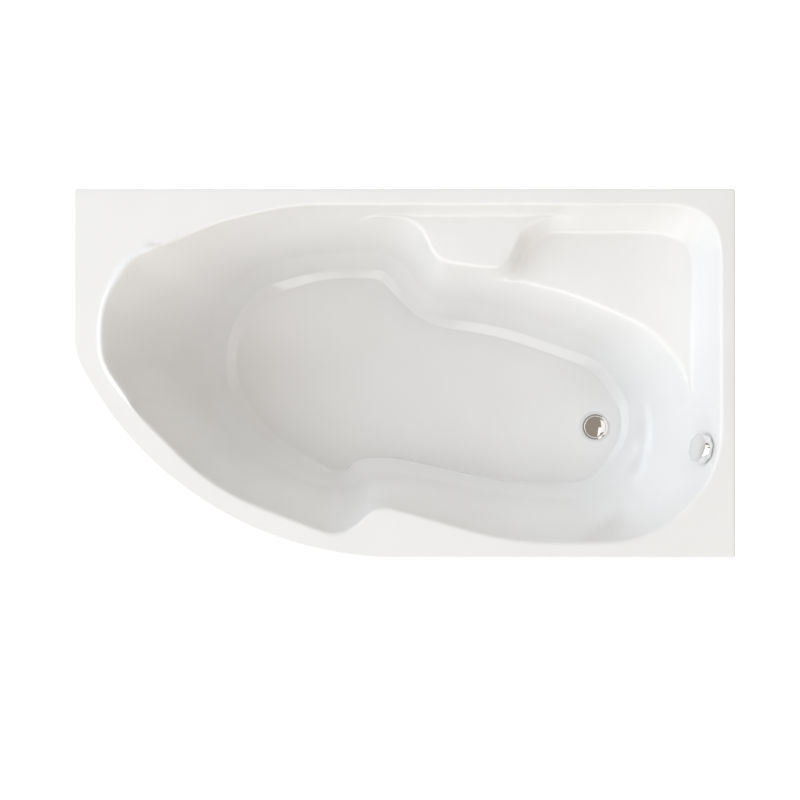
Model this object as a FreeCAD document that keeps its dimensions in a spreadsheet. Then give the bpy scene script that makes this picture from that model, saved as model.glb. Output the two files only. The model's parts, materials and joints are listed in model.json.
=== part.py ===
import FreeCAD, Part
import math
import os
import Sketcher

# Handed acrylic bath with an armrest shelf, a seat and a headrest, on a steel frame.
# X runs from the head end to the waste end, Y to the wall side, Z up.
# The origin lies on the floor, under the middle of the rim.

os.makedirs("parts", exist_ok=True)
doc = FreeCAD.newDocument("bathtub")
sheet = doc.addObject("Spreadsheet::Sheet", "sizes")

bath_sizes = {
    "length": 1700,
    "width": 950,
    "skirt_height": 35,
    "corner_radius": 6,
    "edge_radius": 4,
    "shell_wall": 6,
    "bowl_depth": 432,
    "floor_fall": 4,
    "lip_radius": 9,
    "headrest_drop": 22,
    "shelf_depth": 68,
    "seat_depth": 125,
    "ledge_radius": 9,
    "ledge_spread": 12,
    "cove_rise": 62,
    "step_rise": 14,
}
frame_sizes = {
    "board_thickness": 16,
    "tube": 30,
    "tube_wall": 2,
    "long_rail_end_gap": 20,
    "end_rail_gap": 55,
    "post": 20,
    "post_wall": 2,
    "post_pad_length": 40,
    "post_pad_width": 22,
    "post_pad_height": 4,
    "post_edge_gap": 9,
    "stud_diameter": 12,
    "stud_end": 18,
    "stud_clearance": 0.5,
    "nut_width": 19,
    "nut_height": 10,
    "nut_fit": 0.05,
    "pad_diameter": 50,
    "pad_height": 14,
    "pad_neck_diameter": 24,
    "pad_sole_height": 5,
    "screw_diameter": 5,
    "screw_head_diameter": 10,
    "screw_head_height": 3,
    "screw_grip": 12,
    "screw_fit": 0.1,
}
waste_sizes = {
    "flange_diameter": 70,
    "flange_height": 3,
    "flange_recess": 2,
    "recess_diameter": 84,
    "sleeve_diameter": 44,
    "sleeve_wall": 3,
    "sleeve_length": 26,
    "gasket_height": 1,
    "hole_clearance": 1,
    "plug_diameter": 62,
    "plug_rim": 2,
    "plug_dome": 3,
    "plug_stem": 8,
    "seal_height": 2,
    "seal_width": 6,
    "body_wall": 4,
    "body_depth": 60,
    "body_flange_height": 4,
    "thread_fit": 0.1,
    "pipe_diameter": 32,
    "pipe_wall": 2,
    "pipe_bend": 70,
    "socket_wall": 2,
    "socket_length": 22,
    "socket_gap": 1,
    "pipe_axis_drop": 31,
    "trap_diameter": 76,
    "trap_wall": 3,
    "trap_clearance": 16,
    "trap_head": 25,
    "trap_nut_height": 18,
    "trap_nut_wall": 5,
    "outlet_diameter": 50,
    "outlet_wall": 2,
    "outlet_step": 1,
    "outlet_gap": 2,
    "outlet_free_length": 120,
    "outlet_nut_length": 20,
    "outlet_nut_wall": 5,
}
overflow_sizes = {
    "overflow_depth": 54,
    "overflow_seat": 1.5,
    "overflow_hole": 44,
    "overflow_plate_diameter": 60,
    "overflow_plate_height": 3,
    "overflow_gasket_height": 3,
    "overflow_gasket_diameter": 66,
    "overflow_cup_diameter": 56,
    "overflow_cup_depth": 36,
    "overflow_cup_wall": 3,
    "knob_diameter": 76,
    "knob_height": 20,
    "knob_gap": 4,
    "knob_wall": 3,
    "knob_scallop_diameter": 40,
    "knob_scallop_depth": 3,
    "spindle_diameter": 10,
    "cable_diameter": 6,
    "cable_gap": 5,
    "gland_wall": 2,
    "overrun": 1,
}
values = {}
for group in (bath_sizes, frame_sizes, waste_sizes, overflow_sizes):
    for name, value in group.items():
        values[name] = value
for row, name in enumerate(values, start=1):
    sheet.set("A%d" % row, name)
    sheet.set("B%d" % row, str(values[name]))
    sheet.setAlias("B%d" % row, name)
doc.recompute()


def size(formula):
    """The value of a formula of sheet names."""
    result = sheet.evalExpression(formula)
    return float(getattr(result, "Value", result))


def bind(target, prop, formula):
    target.setExpression(prop, formula)


# Levels that several pieces share, as formulas of the sizes. The trap stands clear of the floor,
# the waste body stands on it and carries the bath's floor.
trap_bottom = "sizes.trap_clearance"
body_bottom = "(%s + 2 * sizes.trap_wall + sizes.outlet_diameter + sizes.trap_head)" % trap_bottom
body_top = "(%s + sizes.body_depth)" % body_bottom
under_floor = "(%s + sizes.gasket_height)" % body_top
rim_height = "(%s + sizes.shell_wall + sizes.floor_fall + sizes.bowl_depth)" % under_floor
rim_underside = "(%s - sizes.shell_wall)" % rim_height
board_bottom = "(%s - sizes.board_thickness)" % under_floor
cross_bottom = "(%s - sizes.tube)" % board_bottom
rail_bottom = "(%s - sizes.tube)" % cross_bottom
pipe_axis_level = "(%s - sizes.pipe_axis_drop)" % body_top


# Outlines, seen from above, as (x share, y share, rounding share) of each corner:
# x follows half the length, y half the width and the rounding the shorter side at that corner.
rim_shares = [(1, 1, 0), (-1, 1, 0), (-1, 0.107, 0.1), (-0.671, -1, 0.92), (1, -1, 0)]
opening_shares = [
    (0.956, 0.912, 0.2), (-0.344, 0.912, 0.4), (-0.575, 0.813, 0.4), (-0.733, 0.688, 0.1),
    (-0.768, 0.715, 0.1), (-0.857, 0.624, 0.4), (-0.928, 0.354, 0.45), (-0.928, 0.062, 0.45),
    (-0.852, -0.132, 0.3), (-0.572, -0.629, 0.4), (-0.188, -0.891, 0.4), (-0.077, -0.707, 0.3),
    (0.333, -0.913, 0.3), (0.748, -0.913, 0.49), (0.956, -0.543, 0.49)]
headrest_shares = [
    (-0.722, 0.686, 0), (-0.801, 0.638, 0.5), (-0.907, 0.383, 0.45), (-0.907, -0.024, 0.45),
    (-0.85, -0.121, 0)]
shelf_foot_shares = [(-0.124, 0.872, 0), (0.494, 0.872, 0)]
shelf_edge_shares = [
    (-0.124, 0.864, 0), (0.002, 0.86, 0.4), (0.06, 0.792, 0.45), (0.09, 0.617, 0.45),
    (0.317, 0.563, 0.45), (0.353, 0.792, 0.45), (0.439, 0.86, 0.4), (0.494, 0.864, 0)]
seat_foot_shares = [
    (0.286, 0.521, 0), (0.351, 0.537, 0.4), (0.367, 0.687, 0.45), (0.429, 0.789, 0.45),
    (0.797, 0.789, 0.4), (0.886, 0.725, 0.45), (0.895, 0.62, 0.4), (0.889, -0.154, 0)]
seat_edge_shares = [
    (0.286, 0.512, 0), (0.357, 0.512, 0.3), (0.528, 0.432, 0.4), (0.759, 0.25, 0.4),
    (0.861, 0.05, 0.45), (0.889, -0.154, 0)]
cove_shares = [
    (-0.059, 0.7, 0.35), (-0.273, 0.7, 0.45), (-0.522, 0.587, 0.45), (-0.636, 0.234, 0.45),
    (-0.636, -0.097, 0.45), (-0.499, -0.479, 0.45), (-0.257, -0.642, 0.45), (-0.176, -0.642, 0.45),
    (-0.117, -0.566, 0.4), (-0.014, -0.561, 0.4), (0.375, -0.711, 0.45), (0.634, -0.711, 0.45),
    (0.767, -0.433, 0.45), (0.767, -0.132, 0.4), (0.654, 0.158, 0.45), (0.31, 0.384, 0.4),
    (0.077, 0.431, 0.45), (0.003, 0.622, 0.45)]
step_shares = [
    (-0.053, 0.62, 0.4), (-0.272, 0.62, 0.45), (-0.491, 0.506, 0.45), (-0.582, 0.225, 0.45),
    (-0.582, -0.073, 0.45), (-0.465, -0.395, 0.45), (-0.216, -0.605, 0.25), (-0.154, -0.479, 0.4),
    (-0.03, -0.477, 0.4), (0.379, -0.646, 0.45), (0.634, -0.646, 0.45), (0.738, -0.354, 0.45),
    (0.738, -0.161, 0.35), (0.65, 0.085, 0.45), (0.313, 0.296, 0.45), (0.078, 0.348, 0.45),
    (-0.014, 0.5, 0.45)]
floor_shares = [
    (-0.079, 0.572, 0.4), (-0.259, 0.572, 0.45), (-0.446, 0.467, 0.45), (-0.551, 0.209, 0.45),
    (-0.548, -0.049, 0.45), (-0.446, -0.331, 0.45), (-0.22, -0.577, 0.25), (-0.154, -0.495, 0.4),
    (-0.03, -0.495, 0.4), (0.38, -0.63, 0.45), (0.622, -0.63, 0.45), (0.714, -0.343, 0.45),
    (0.711, -0.202, 0.35), (0.626, 0.033, 0.45), (0.314, 0.232, 0.45), (0.078, 0.291, 0.45),
    (-0.03, 0.467, 0.45)]
# Guide lines run from the floor out over the rim, as (x, y) shares of both ends,
# and the profile of the bath is taken along each and along lines between them.
guide_shares = [
    (0.67, -0.29, 1.00, -0.31), (0.64, -0.10, 1.00, 0.23), (0.61, -0.03, 1.00, 1.00),
    (0.58, 0.01, 0.77, 1.00), (0.54, 0.03, 0.59, 1.00), (0.51, 0.06, 0.44, 1.00),
    (0.47, 0.08, 0.34, 1.00), (0.38, 0.14, 0.26, 1.00), (0.25, 0.21, 0.19, 1.00),
    (0.12, 0.28, 0.16, 1.00), (0.02, 0.34, 0.12, 1.00), (-0.04, 0.44, 0.05, 1.00),
    (-0.09, 0.50, -0.06, 1.00), (-0.19, 0.52, -0.19, 1.00), (-0.31, 0.49, -0.41, 1.00),
    (-0.41, 0.41, -0.68, 1.00), (-0.48, 0.28, -1.00, 0.99), (-0.51, 0.15, -1.00, 0.45),
    (-0.51, 0.00, -1.00, 0.13), (-0.48, -0.14, -0.92, -0.28), (-0.41, -0.29, -0.74, -0.57),
    (-0.32, -0.40, -0.47, -0.93), (-0.26, -0.45, -0.26, -1.09), (-0.20, -0.44, -0.16, -1.09),
    (-0.15, -0.40, -0.07, -1.09), (-0.03, -0.42, 0.03, -1.09), (0.15, -0.51, 0.17, -1.09),
    (0.35, -0.55, 0.38, -1.09), (0.51, -0.55, 0.59, -1.09), (0.61, -0.50, 0.86, -1.09),
    (0.66, -0.40, 1.07, -0.79)]
# The middle of the waste, as shares of half the length and half the width.
drain_shares = (0.627, -0.301)
guide_divisions = 3
rounding_steps = 8
# No band of the wall between two creases takes less than this share of the height there,
# and a rounding takes at most this share of the band beside it.
least_band_share = 0.15
most_rounding_share = 0.4
# How near two faces of the shell must come to be sewn, as a share of the overrun,
# and how near a face must lie to a level, as a share of the height.
sewing_share = 0.01
level_share = 0.001


def planPoint(x_share, y_share, height=0):
    return FreeCAD.Vector(x_share * size("sizes.length / 2"), y_share * size("sizes.width / 2"), height)


def roundedOutline(shares, closed):
    """The outline through the corners with each corner rounded as a parabola."""
    corners = [planPoint(x, y) for x, y, rounding in shares]
    count = len(corners)
    outline = []
    for i, corner in enumerate(corners):
        if not closed and i in (0, count - 1):
            outline.append(corner)
            continue
        before = corners[i - 1] - corner
        after = corners[(i + 1) % count] - corner
        reach = shares[i][2] * min(before.Length, after.Length)
        start = corner + before.normalize() * reach
        end = corner + after.normalize() * reach
        for k in range(rounding_steps + 1):
            u = k / rounding_steps
            outline.append(start * (1 - u) ** 2 + corner * 2 * u * (1 - u) + end * u ** 2)
    if closed:
        outline.append(outline[0])
    return outline


def crossing(outline, inner, outer):
    """The outermost point where the line from inner to outer meets the outline, or None."""
    along = outer - inner
    furthest = None
    for a, b in zip(outline, outline[1:]):
        side = b - a
        cross = along.x * side.y - along.y * side.x
        if cross == 0:
            continue
        gap = a - inner
        t = (gap.x * side.y - gap.y * side.x) / cross
        s = (gap.x * along.y - gap.y * along.x) / cross
        if 0 <= s <= 1 and t > 0 and (furthest is None or t > furthest):
            furthest = t
    if furthest is None:
        return None
    return inner + along * furthest


def guideLines():
    lines = []
    for i, shares in enumerate(guide_shares):
        following = guide_shares[(i + 1) % len(guide_shares)]
        for k in range(guide_divisions):
            u = k / guide_divisions
            mixed = [a * (1 - u) + b * u for a, b in zip(shares, following)]
            lines.append((planPoint(mixed[0], mixed[1]), planPoint(mixed[2], mixed[3])))
    return lines


def floorDrop(x):
    """How far the floor has fallen at x, level with the head end of the floor."""
    head = min(share[0] for share in floor_shares) * size("sizes.length / 2")
    return size("sizes.floor_fall") * (x - head) / (planPoint(*drain_shares).x - head)


def creases():
    """Each crease of the bath as its outline, its depth and, off its ledge, its depth on the wall."""
    spread = size("sizes.ledge_spread")
    shelf = size("sizes.shelf_depth")
    seat = size("sizes.seat_depth")
    bowl = size("sizes.bowl_depth")
    return [
        (roundedOutline(opening_shares, True), 0, None),
        (roundedOutline(headrest_shares, False), size("sizes.headrest_drop"), size("sizes.lip_radius")),
        (roundedOutline(shelf_foot_shares, False), shelf, shelf - spread),
        (roundedOutline(shelf_edge_shares, False), shelf, shelf + spread),
        (roundedOutline(seat_foot_shares, False), seat, seat - spread),
        (roundedOutline(seat_edge_shares, False), seat, seat + spread),
        (roundedOutline(cove_shares, True), size("sizes.bowl_depth - sizes.cove_rise"), None),
        (roundedOutline(step_shares, True), size("sizes.bowl_depth - sizes.step_rise"), None),
        (roundedOutline(floor_shares, True), bowl, None),
    ]


def wallProfile(crease_list, inner, outer):
    """The creases met along a guide line, from the rim to the floor."""
    top = size(rim_height)
    points = []
    for outline, depth, wall_depth in crease_list:
        point = crossing(outline, inner, outer)
        points.append(None if point is None else FreeCAD.Vector(point.x, point.y, top - depth))
    for k, (outline, depth, wall_depth) in enumerate(crease_list):
        if points[k] is not None:
            continue
        above = points[k - 1]
        below = next(point for point in points[k + 1:] if point is not None)
        share = (above.z - top + wall_depth) / (above.z - below.z) if above.z > below.z else 1
        share = min(max(share, least_band_share), 1 - least_band_share)
        points[k] = above + (below - above) * share
    for point in points[-2:]:
        point.z -= floorDrop(point.x)
    return points


def toward(start, end, distance):
    """A point that far from start on the way to end, or as far as a rounding may reach."""
    gap = (end - start).Length
    return start + (end - start) * min(distance / gap, most_rounding_share)


def insideRows(points, inner, outer):
    """The visible skin along one guide line, from the deck to the floor."""
    lip = size("sizes.lip_radius")
    ledge = size("sizes.ledge_radius")
    out = (outer - inner).normalize()
    deck = points[0] + out * lip
    wall = toward(points[0], points[1], lip)
    rows = [deck, (deck + points[0] * 2 + wall) / 4, wall, points[1], points[2]]
    rows += [toward(points[3], points[2], ledge), toward(points[3], points[4], ledge), points[4]]
    rows += [toward(points[5], points[4], ledge), toward(points[5], points[6], ledge), points[6]]
    rows += [points[7], points[8]]
    return rows


def outsideRows(profiles, i, inner, outer):
    """The back of the shell along one guide line: each crease moved out by the wall."""
    wall = size("sizes.shell_wall")
    points = profiles[i]
    before = profiles[i - 1]
    after = profiles[(i + 1) % len(profiles)]
    out = (outer - inner).normalize()
    rows = [points[0] + out * size("sizes.lip_radius + 1") - FreeCAD.Vector(0, 0, wall)]
    for k in (0, 2, 3, 4, 5, 6):
        around = after[k] - before[k]
        upper = points[k - 1] if k else points[0] + out
        normals = []
        for edge in (points[k] - upper, points[k + 1] - points[k]):
            normal = edge.cross(around)
            normals.append(normal.normalize())
        both = normals[0] + normals[1]
        rows.append(points[k] + both * (2 * wall / both.dot(both)))
    floor_edge = points[8]
    rows.append(FreeCAD.Vector(floor_edge.x, floor_edge.y, size(under_floor)))
    return rows


def ringBand(upper, lower):
    """A smooth closed band between two rings of as many points."""
    count = len(upper)
    band = Part.BSplineSurface()
    knots = [float(k) for k in range(count + 1)]
    poles = [[a, b] for a, b in zip(upper, lower)]
    band.buildFromPolesMultsKnots(poles, [1] * (count + 1), [2, 2], knots, [0.0, 1.0], True, False, 3, 1)
    return band.toShape()


def ringFace(ring):
    """The flat face inside a ring of points."""
    count = len(ring)
    curve = Part.BSplineCurve()
    knots = [float(k) for k in range(count + 1)]
    curve.buildFromPolesMultsKnots(ring, [1] * (count + 1), knots, True, 3)
    return Part.Face(Part.Wire([curve.toShape()]))


def skinBands(rows):
    rings = [list(ring) for ring in zip(*rows)]
    return rings, [ringBand(a, b) for a, b in zip(rings, rings[1:])]


def rimWire(height):
    """The outer outline of the rim in lines and arcs."""
    corners = [planPoint(x, y, height) for x, y, rounding in rim_shares]
    count = len(corners)
    arcs = []
    for i, corner in enumerate(corners):
        before = corners[i - 1] - corner
        after = corners[(i + 1) % count] - corner
        half = before.getAngle(after) / 2
        reach = rim_shares[i][2] * min(before.Length, after.Length)
        if reach == 0:
            reach = size("sizes.corner_radius") / math.tan(half)
        start = corner + before.normalize() * reach
        end = corner + after.normalize() * reach
        radius = reach * math.tan(half)
        bisector = (before + after).normalize()
        middle = corner + bisector * (radius / math.sin(half) - radius)
        arcs.append((start, middle, end))
    edges = []
    for i, (start, middle, end) in enumerate(arcs):
        edges.append(Part.Arc(start, middle, end).toShape())
        edges.append(Part.makeLine(end, arcs[(i + 1) % count][0]))
    return Part.Wire(edges)


def isLevel(face, height):
    box = face.BoundBox
    return box.ZLength < level_share * height and abs(box.ZMin - height) < level_share * height


def wholeShell(profiles, lines):
    """The acrylic shell as one solid, with the deck and the turned-down skirt."""
    top = size(rim_height)
    hem = top - size("sizes.skirt_height")
    wall = size("sizes.shell_wall")
    inside = [insideRows(points, *line) for points, line in zip(profiles, lines)]
    outside = [outsideRows(profiles, i, *line) for i, line in enumerate(lines)]
    inside_rings, faces = skinBands(inside)
    outside_rings, outside_faces = skinBands(outside)
    faces += outside_faces
    faces.append(ringFace(inside_rings[-1]))
    faces.append(ringFace(outside_rings[-1]))
    outer_wire = rimWire(hem)
    inner_wire = outer_wire.makeOffset2D(-wall)
    block = Part.Face(outer_wire).extrude(FreeCAD.Vector(0, 0, top - hem))
    upper_edges = [edge for edge in block.Edges if isLevel(edge, top)]
    block = block.makeFillet(size("sizes.edge_radius"), upper_edges)
    for face in block.Faces:
        if isLevel(face, top):
            faces.append(face.cut(ringFace(inside_rings[0])))
        elif not isLevel(face, hem):
            faces.append(face)
    hollow = Part.Face(inner_wire).extrude(FreeCAD.Vector(0, 0, top - wall - hem))
    for face in hollow.Faces:
        if isLevel(face, top - wall):
            faces.append(face.cut(ringFace(outside_rings[0])))
        elif not isLevel(face, hem):
            faces.append(face)
    faces.append(Part.Face(outer_wire).cut(Part.Face(inner_wire)))
    single_faces = [single for face in faces for single in face.Faces]
    skin = Part.Shell(single_faces)
    skin.sewShape(size("sizes.overrun") * sewing_share)
    solid = Part.Solid(skin)
    if solid.Volume < 0:
        solid.reverse()
    return solid


def originPlane(body, role):
    return next(feature for feature in body.Origin.OriginFeatures if feature.Role == role)


def newBody(label):
    body = doc.addObject("PartDesign::Body", label)
    body.Label = label
    return body


def loopSketch(body, role, loops, offset="0"):
    """A sketch of closed polygons, each corner a pair of formulas, on a plane of the body."""
    sketch = body.newObject("Sketcher::SketchObject", body.Name + "_profile")
    sketch.AttachmentSupport = (originPlane(body, role), [""])
    sketch.MapMode = "FlatFace"
    bind(sketch, "AttachmentOffset.Base.z", offset)
    for corners in loops:
        first = sketch.GeometryCount
        points = [FreeCAD.Vector(size(x), size(y), 0) for x, y in corners]
        count = len(points)
        for i in range(count):
            sketch.addGeometry(Part.LineSegment(points[i], points[(i + 1) % count]), False)
        for i in range(count):
            following = first + (i + 1) % count
            sketch.addConstraint(Sketcher.Constraint("Coincident", first + i, 2, following, 1))
        for i, (x, y) in enumerate(corners):
            for kind, formula, value in (("DistanceX", x, points[i].x), ("DistanceY", y, points[i].y)):
                index = sketch.addConstraint(Sketcher.Constraint(kind, -1, 1, first + i, 1, value))
                bind(sketch, "Constraints[%d]" % index, formula)
    return sketch


def circleSketch(body, role, circles, offset="0"):
    """A sketch of circles, each (x, y, radius) in formulas, on a plane of the body."""
    sketch = body.newObject("Sketcher::SketchObject", body.Name + "_circles")
    sketch.AttachmentSupport = (originPlane(body, role), [""])
    sketch.MapMode = "FlatFace"
    bind(sketch, "AttachmentOffset.Base.z", offset)
    for x, y, radius in circles:
        centre = FreeCAD.Vector(size(x), size(y), 0)
        circle = sketch.addGeometry(Part.Circle(centre, FreeCAD.Vector(0, 0, 1), size(radius)), False)
        dimensions = (
            (Sketcher.Constraint("Radius", circle, size(radius)), radius),
            (Sketcher.Constraint("DistanceX", -1, 1, circle, 3, centre.x), x),
            (Sketcher.Constraint("DistanceY", -1, 1, circle, 3, centre.y), y))
        for constraint, formula in dimensions:
            index = sketch.addConstraint(constraint)
            bind(sketch, "Constraints[%d]" % index, formula)
    return sketch


def pad(body, sketch, length, centred=False, backwards=False):
    feature = body.newObject("PartDesign::Pad", body.Name + "_pad")
    feature.Profile = sketch
    bind(feature, "Length", length)
    feature.Midplane = centred
    feature.Reversed = backwards
    return feature


def pocket(body, sketch, length, centred=False, backwards=False):
    feature = body.newObject("PartDesign::Pocket", body.Name + "_pocket")
    feature.Profile = sketch
    bind(feature, "Length", length)
    feature.Midplane = centred
    feature.Reversed = backwards
    return feature


def revolve(body, loops):
    """A turned solid: radius and height pairs swung round the body's Z axis."""
    sketch = loopSketch(body, "XZ_Plane", loops)
    feature = body.newObject("PartDesign::Revolution", body.Name + "_turned")
    feature.Profile = sketch
    feature.ReferenceAxis = (sketch, ["V_Axis"])
    feature.Angle = 360
    return feature


def place(body, x, y, z):
    for axis, formula in (("x", x), ("y", y), ("z", z)):
        bind(body, "Placement.Base." + axis, formula)


def rectangle(half_width, half_height):
    """Corners of a rectangle about the sketch's origin, from formulas of its half sizes."""
    return [("-(%s)" % half_width, "-(%s)" % half_height), (half_width, "-(%s)" % half_height),
            (half_width, half_height), ("-(%s)" % half_width, half_height)]


def squareTube(label, role, side, wall, length):
    """A square tube, centred on the body's origin along the sketch plane's normal."""
    body = newBody(label)
    outer = rectangle("%s / 2" % side, "%s / 2" % side)
    inner = rectangle("%s / 2 - %s" % (side, wall), "%s / 2 - %s" % (side, wall))
    pad(body, loopSketch(body, role, [outer, inner]), length, centred=True)
    return body


# The board's outline, as shares of half the length and half the width.
board_shares = [
    (-0.45, 0.32), (-0.33, 0.45), (-0.10, 0.47), (-0.02, 0.33), (0.08, 0.22), (0.31, 0.16),
    (0.49, 0.06), (0.49, -0.56), (0.36, -0.56), (-0.10, -0.42), (-0.20, -0.48), (-0.35, -0.36),
    (-0.46, -0.12)]
# Where the six feet stand: a name, the share of half the length and the rail that they carry.
foot_place_shares = [
    ("head_back", -0.74, "back"), ("middle_back", 0.13, "back"), ("waste_back", 0.80, "back"),
    ("head_front", -0.53, "front"), ("middle_front", 0.13, "front"), ("waste_front", 0.80, "front")]
# Where the rails lie, as shares of half the width or half the length.
long_rail_shares = [("back", 0.484), ("front", -0.505)]
front_rail_start_share = -0.594
cross_rail_shares = [("head", -0.47), ("middle", -0.035), ("foot", 0.388)]
rail_lines = {}
for rail, share in long_rail_shares:
    rail_lines[rail] = "(sizes.width / 2 * %s)" % share
cross_lines = {"end": "(sizes.length / 2 - sizes.end_rail_gap)"}
for rail, share in cross_rail_shares:
    cross_lines[rail] = "(sizes.length / 2 * %s)" % share
# Where the two screws of a cross rail stand, as shares of half the width.
screw_row_shares = (-0.25, 0.09)
# The cross rails: a name, where they cross, and how far they reach to the front and the back.
back_reach = "(sizes.width / 2 - sizes.post_edge_gap)"
short_back = "(%s + sizes.tube / 2)" % rail_lines["back"]
short_front = "(%s - sizes.tube / 2)" % rail_lines["front"]
front_reach = "(-sizes.width / 2 + sizes.post_edge_gap + sizes.post)"
cross_rails = [
    ("head", short_front, back_reach), ("middle", front_reach, back_reach),
    ("foot", short_front, short_back), ("end", front_reach, back_reach)]
post_front = "(%s + sizes.post / 2)" % front_reach
post_back = "(%s - sizes.post / 2)" % back_reach
posts = [
    ("head_end", "(-sizes.length / 2 + sizes.tube / 2 + sizes.long_rail_end_gap)", rail_lines["back"],
     cross_bottom),
    ("head_back", cross_lines["head"], post_back, board_bottom),
    ("middle_back", cross_lines["middle"], post_back, board_bottom),
    ("middle_front", cross_lines["middle"], post_front, board_bottom),
    ("waste_back", cross_lines["end"], post_back, board_bottom),
    ("waste_front", cross_lines["end"], post_front, board_bottom)]


def footPlaces():
    return [(name, "(sizes.length / 2 * %s)" % share, rail_lines[rail])
            for name, share, rail in foot_place_shares]


def baseBoard():
    """The stiffening board bonded under the floor, with pilot holes for the frame screws."""
    body = newBody("base_board")
    corners = [("sizes.length / 2 * %s" % x, "sizes.width / 2 * %s" % y) for x, y in board_shares]
    pad(body, loopSketch(body, "XY_Plane", [corners]), "sizes.board_thickness")
    holes = [(x, y, "sizes.screw_diameter / 2 + sizes.screw_fit") for x, y in screwPlaces()]
    pocket(body, circleSketch(body, "XY_Plane", holes), "sizes.screw_grip", backwards=True)
    place(body, "0", "0", board_bottom)
    return body


def screwPlaces():
    """Two screws up through each cross rail that carries the board."""
    places = []
    for rail, rail_share in cross_rail_shares:
        for share in screw_row_shares:
            places.append((cross_lines[rail], "(sizes.width / 2 * %s)" % share))
    return places


def crossRail(rail, front, back):
    x = cross_lines[rail]
    length = "%s - %s" % (back, front)
    body = squareTube("cross_rail_" + rail, "XZ_Plane", "sizes.tube", "sizes.tube_wall", length)
    place(body, x, "(%s + %s) / 2" % (front, back), "%s + sizes.tube / 2" % cross_bottom)
    radius = "sizes.screw_diameter / 2 + sizes.screw_fit"
    own_holes = [("0", "%s - (%s + %s) / 2" % (y, front, back), radius)
                 for screw_x, y in screwPlaces() if screw_x == x]
    if own_holes:
        pocket(body, circleSketch(body, "XY_Plane", own_holes), "sizes.tube + sizes.overrun", centred=True)
    return body


def longRail(label, start, rail):
    """A rail along the bath with clearance holes for the studs of its feet."""
    end = "(%s + sizes.tube / 2)" % cross_lines["end"]
    body = squareTube(label, "YZ_Plane", "sizes.tube", "sizes.tube_wall", "%s - %s" % (end, start))
    place(body, "(%s + %s) / 2" % (start, end), rail_lines[rail], "%s + sizes.tube / 2" % rail_bottom)
    holes = [("sizes.length / 2 * %s - (%s + %s) / 2" % (share, start, end), "0",
              "(sizes.stud_diameter + sizes.stud_clearance) / 2")
             for name, share, line in foot_place_shares if line == rail]
    pocket(body, circleSketch(body, "XY_Plane", holes), "sizes.tube + sizes.overrun", centred=True)
    return body


def post(name, x, y, bottom):
    body = squareTube("post_" + name, "XY_Plane", "sizes.post", "sizes.post_wall",
                      "%s - sizes.post_pad_height - %s" % (rim_underside, bottom))
    place(body, x, y, "(%s - sizes.post_pad_height + %s) / 2" % (rim_underside, bottom))
    return body


def postPad(name, x, y):
    """The plastic pad between a post and the underside of the rim."""
    body = newBody("post_pad_" + name)
    outline = rectangle("sizes.post_pad_length / 2", "sizes.post_pad_width / 2")
    pad(body, loopSketch(body, "XY_Plane", [outline]), "sizes.post_pad_height")
    place(body, x, y, "%s - sizes.post_pad_height" % rim_underside)
    return body


def footStud(name, x, y):
    body = newBody("foot_stud_" + name)
    pad(body, circleSketch(body, "XY_Plane", [("0", "0", "sizes.stud_diameter / 2")]),
        "%s + sizes.nut_height + sizes.stud_end - sizes.pad_sole_height" % cross_bottom)
    place(body, x, y, "sizes.pad_sole_height")
    return body


def footPad(name, x, y):
    """The round plastic foot with a socket for the stud."""
    body = newBody("foot_pad_" + name)
    socket = "sizes.stud_diameter / 2"
    neck = "sizes.pad_neck_diameter / 2"
    edge = "sizes.pad_diameter / 2"
    sole = "sizes.pad_sole_height"
    top = "sizes.pad_height"
    revolve(body, [[("0", "0"), (edge, "0"), (edge, sole), (neck, top), (socket, top), (socket, sole),
                    ("0", sole)]])
    place(body, x, y, "0")
    return body


def hexagon(x, y, width):
    """Corner formulas of a hexagon that wide across its flats, about a centre."""
    corners = []
    for k in range(6):
        turn = "%d deg" % (60 * k)
        corners.append(("%s + %s / sqrt(3) * cos(%s)" % (x, width, turn),
                        "%s + %s / sqrt(3) * sin(%s)" % (y, width, turn)))
    return corners


def nuts(label, level):
    """One nut round each stud, all at the same level."""
    body = newBody(label)
    loops = [hexagon(x, y, "sizes.nut_width") for name, x, y in footPlaces()]
    pad(body, loopSketch(body, "XY_Plane", loops), "sizes.nut_height")
    bores = [(x, y, "sizes.stud_diameter / 2 + sizes.nut_fit") for name, x, y in footPlaces()]
    pocket(body, circleSketch(body, "XY_Plane", bores), "sizes.nut_height + sizes.overrun", backwards=True)
    place(body, "0", "0", level)
    return body


def boardScrews():
    """The screws that hold the cross rails to the board, heads below."""
    body = newBody("board_screws")
    heads = [(x, y, "sizes.screw_head_diameter / 2") for x, y in screwPlaces()]
    shanks = [(x, y, "sizes.screw_diameter / 2") for x, y in screwPlaces()]
    pad(body, circleSketch(body, "XY_Plane", heads), "sizes.screw_head_height")
    pad(body, circleSketch(body, "XY_Plane", shanks),
        "sizes.screw_head_height + sizes.tube + sizes.screw_grip - sizes.overrun")
    place(body, "0", "0", "%s - sizes.screw_head_height" % cross_bottom)
    return body


# The waste and the overflow share an upright plane, through the waste and across the foot wall.
overflow_line_share = -0.446
# The plug's dome between its rim and its crown, as shares of its radius and of its rise.
plug_dome_shares = [(0.96, 0.3), (0.8, 0.55), (0.5, 0.85)]
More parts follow.
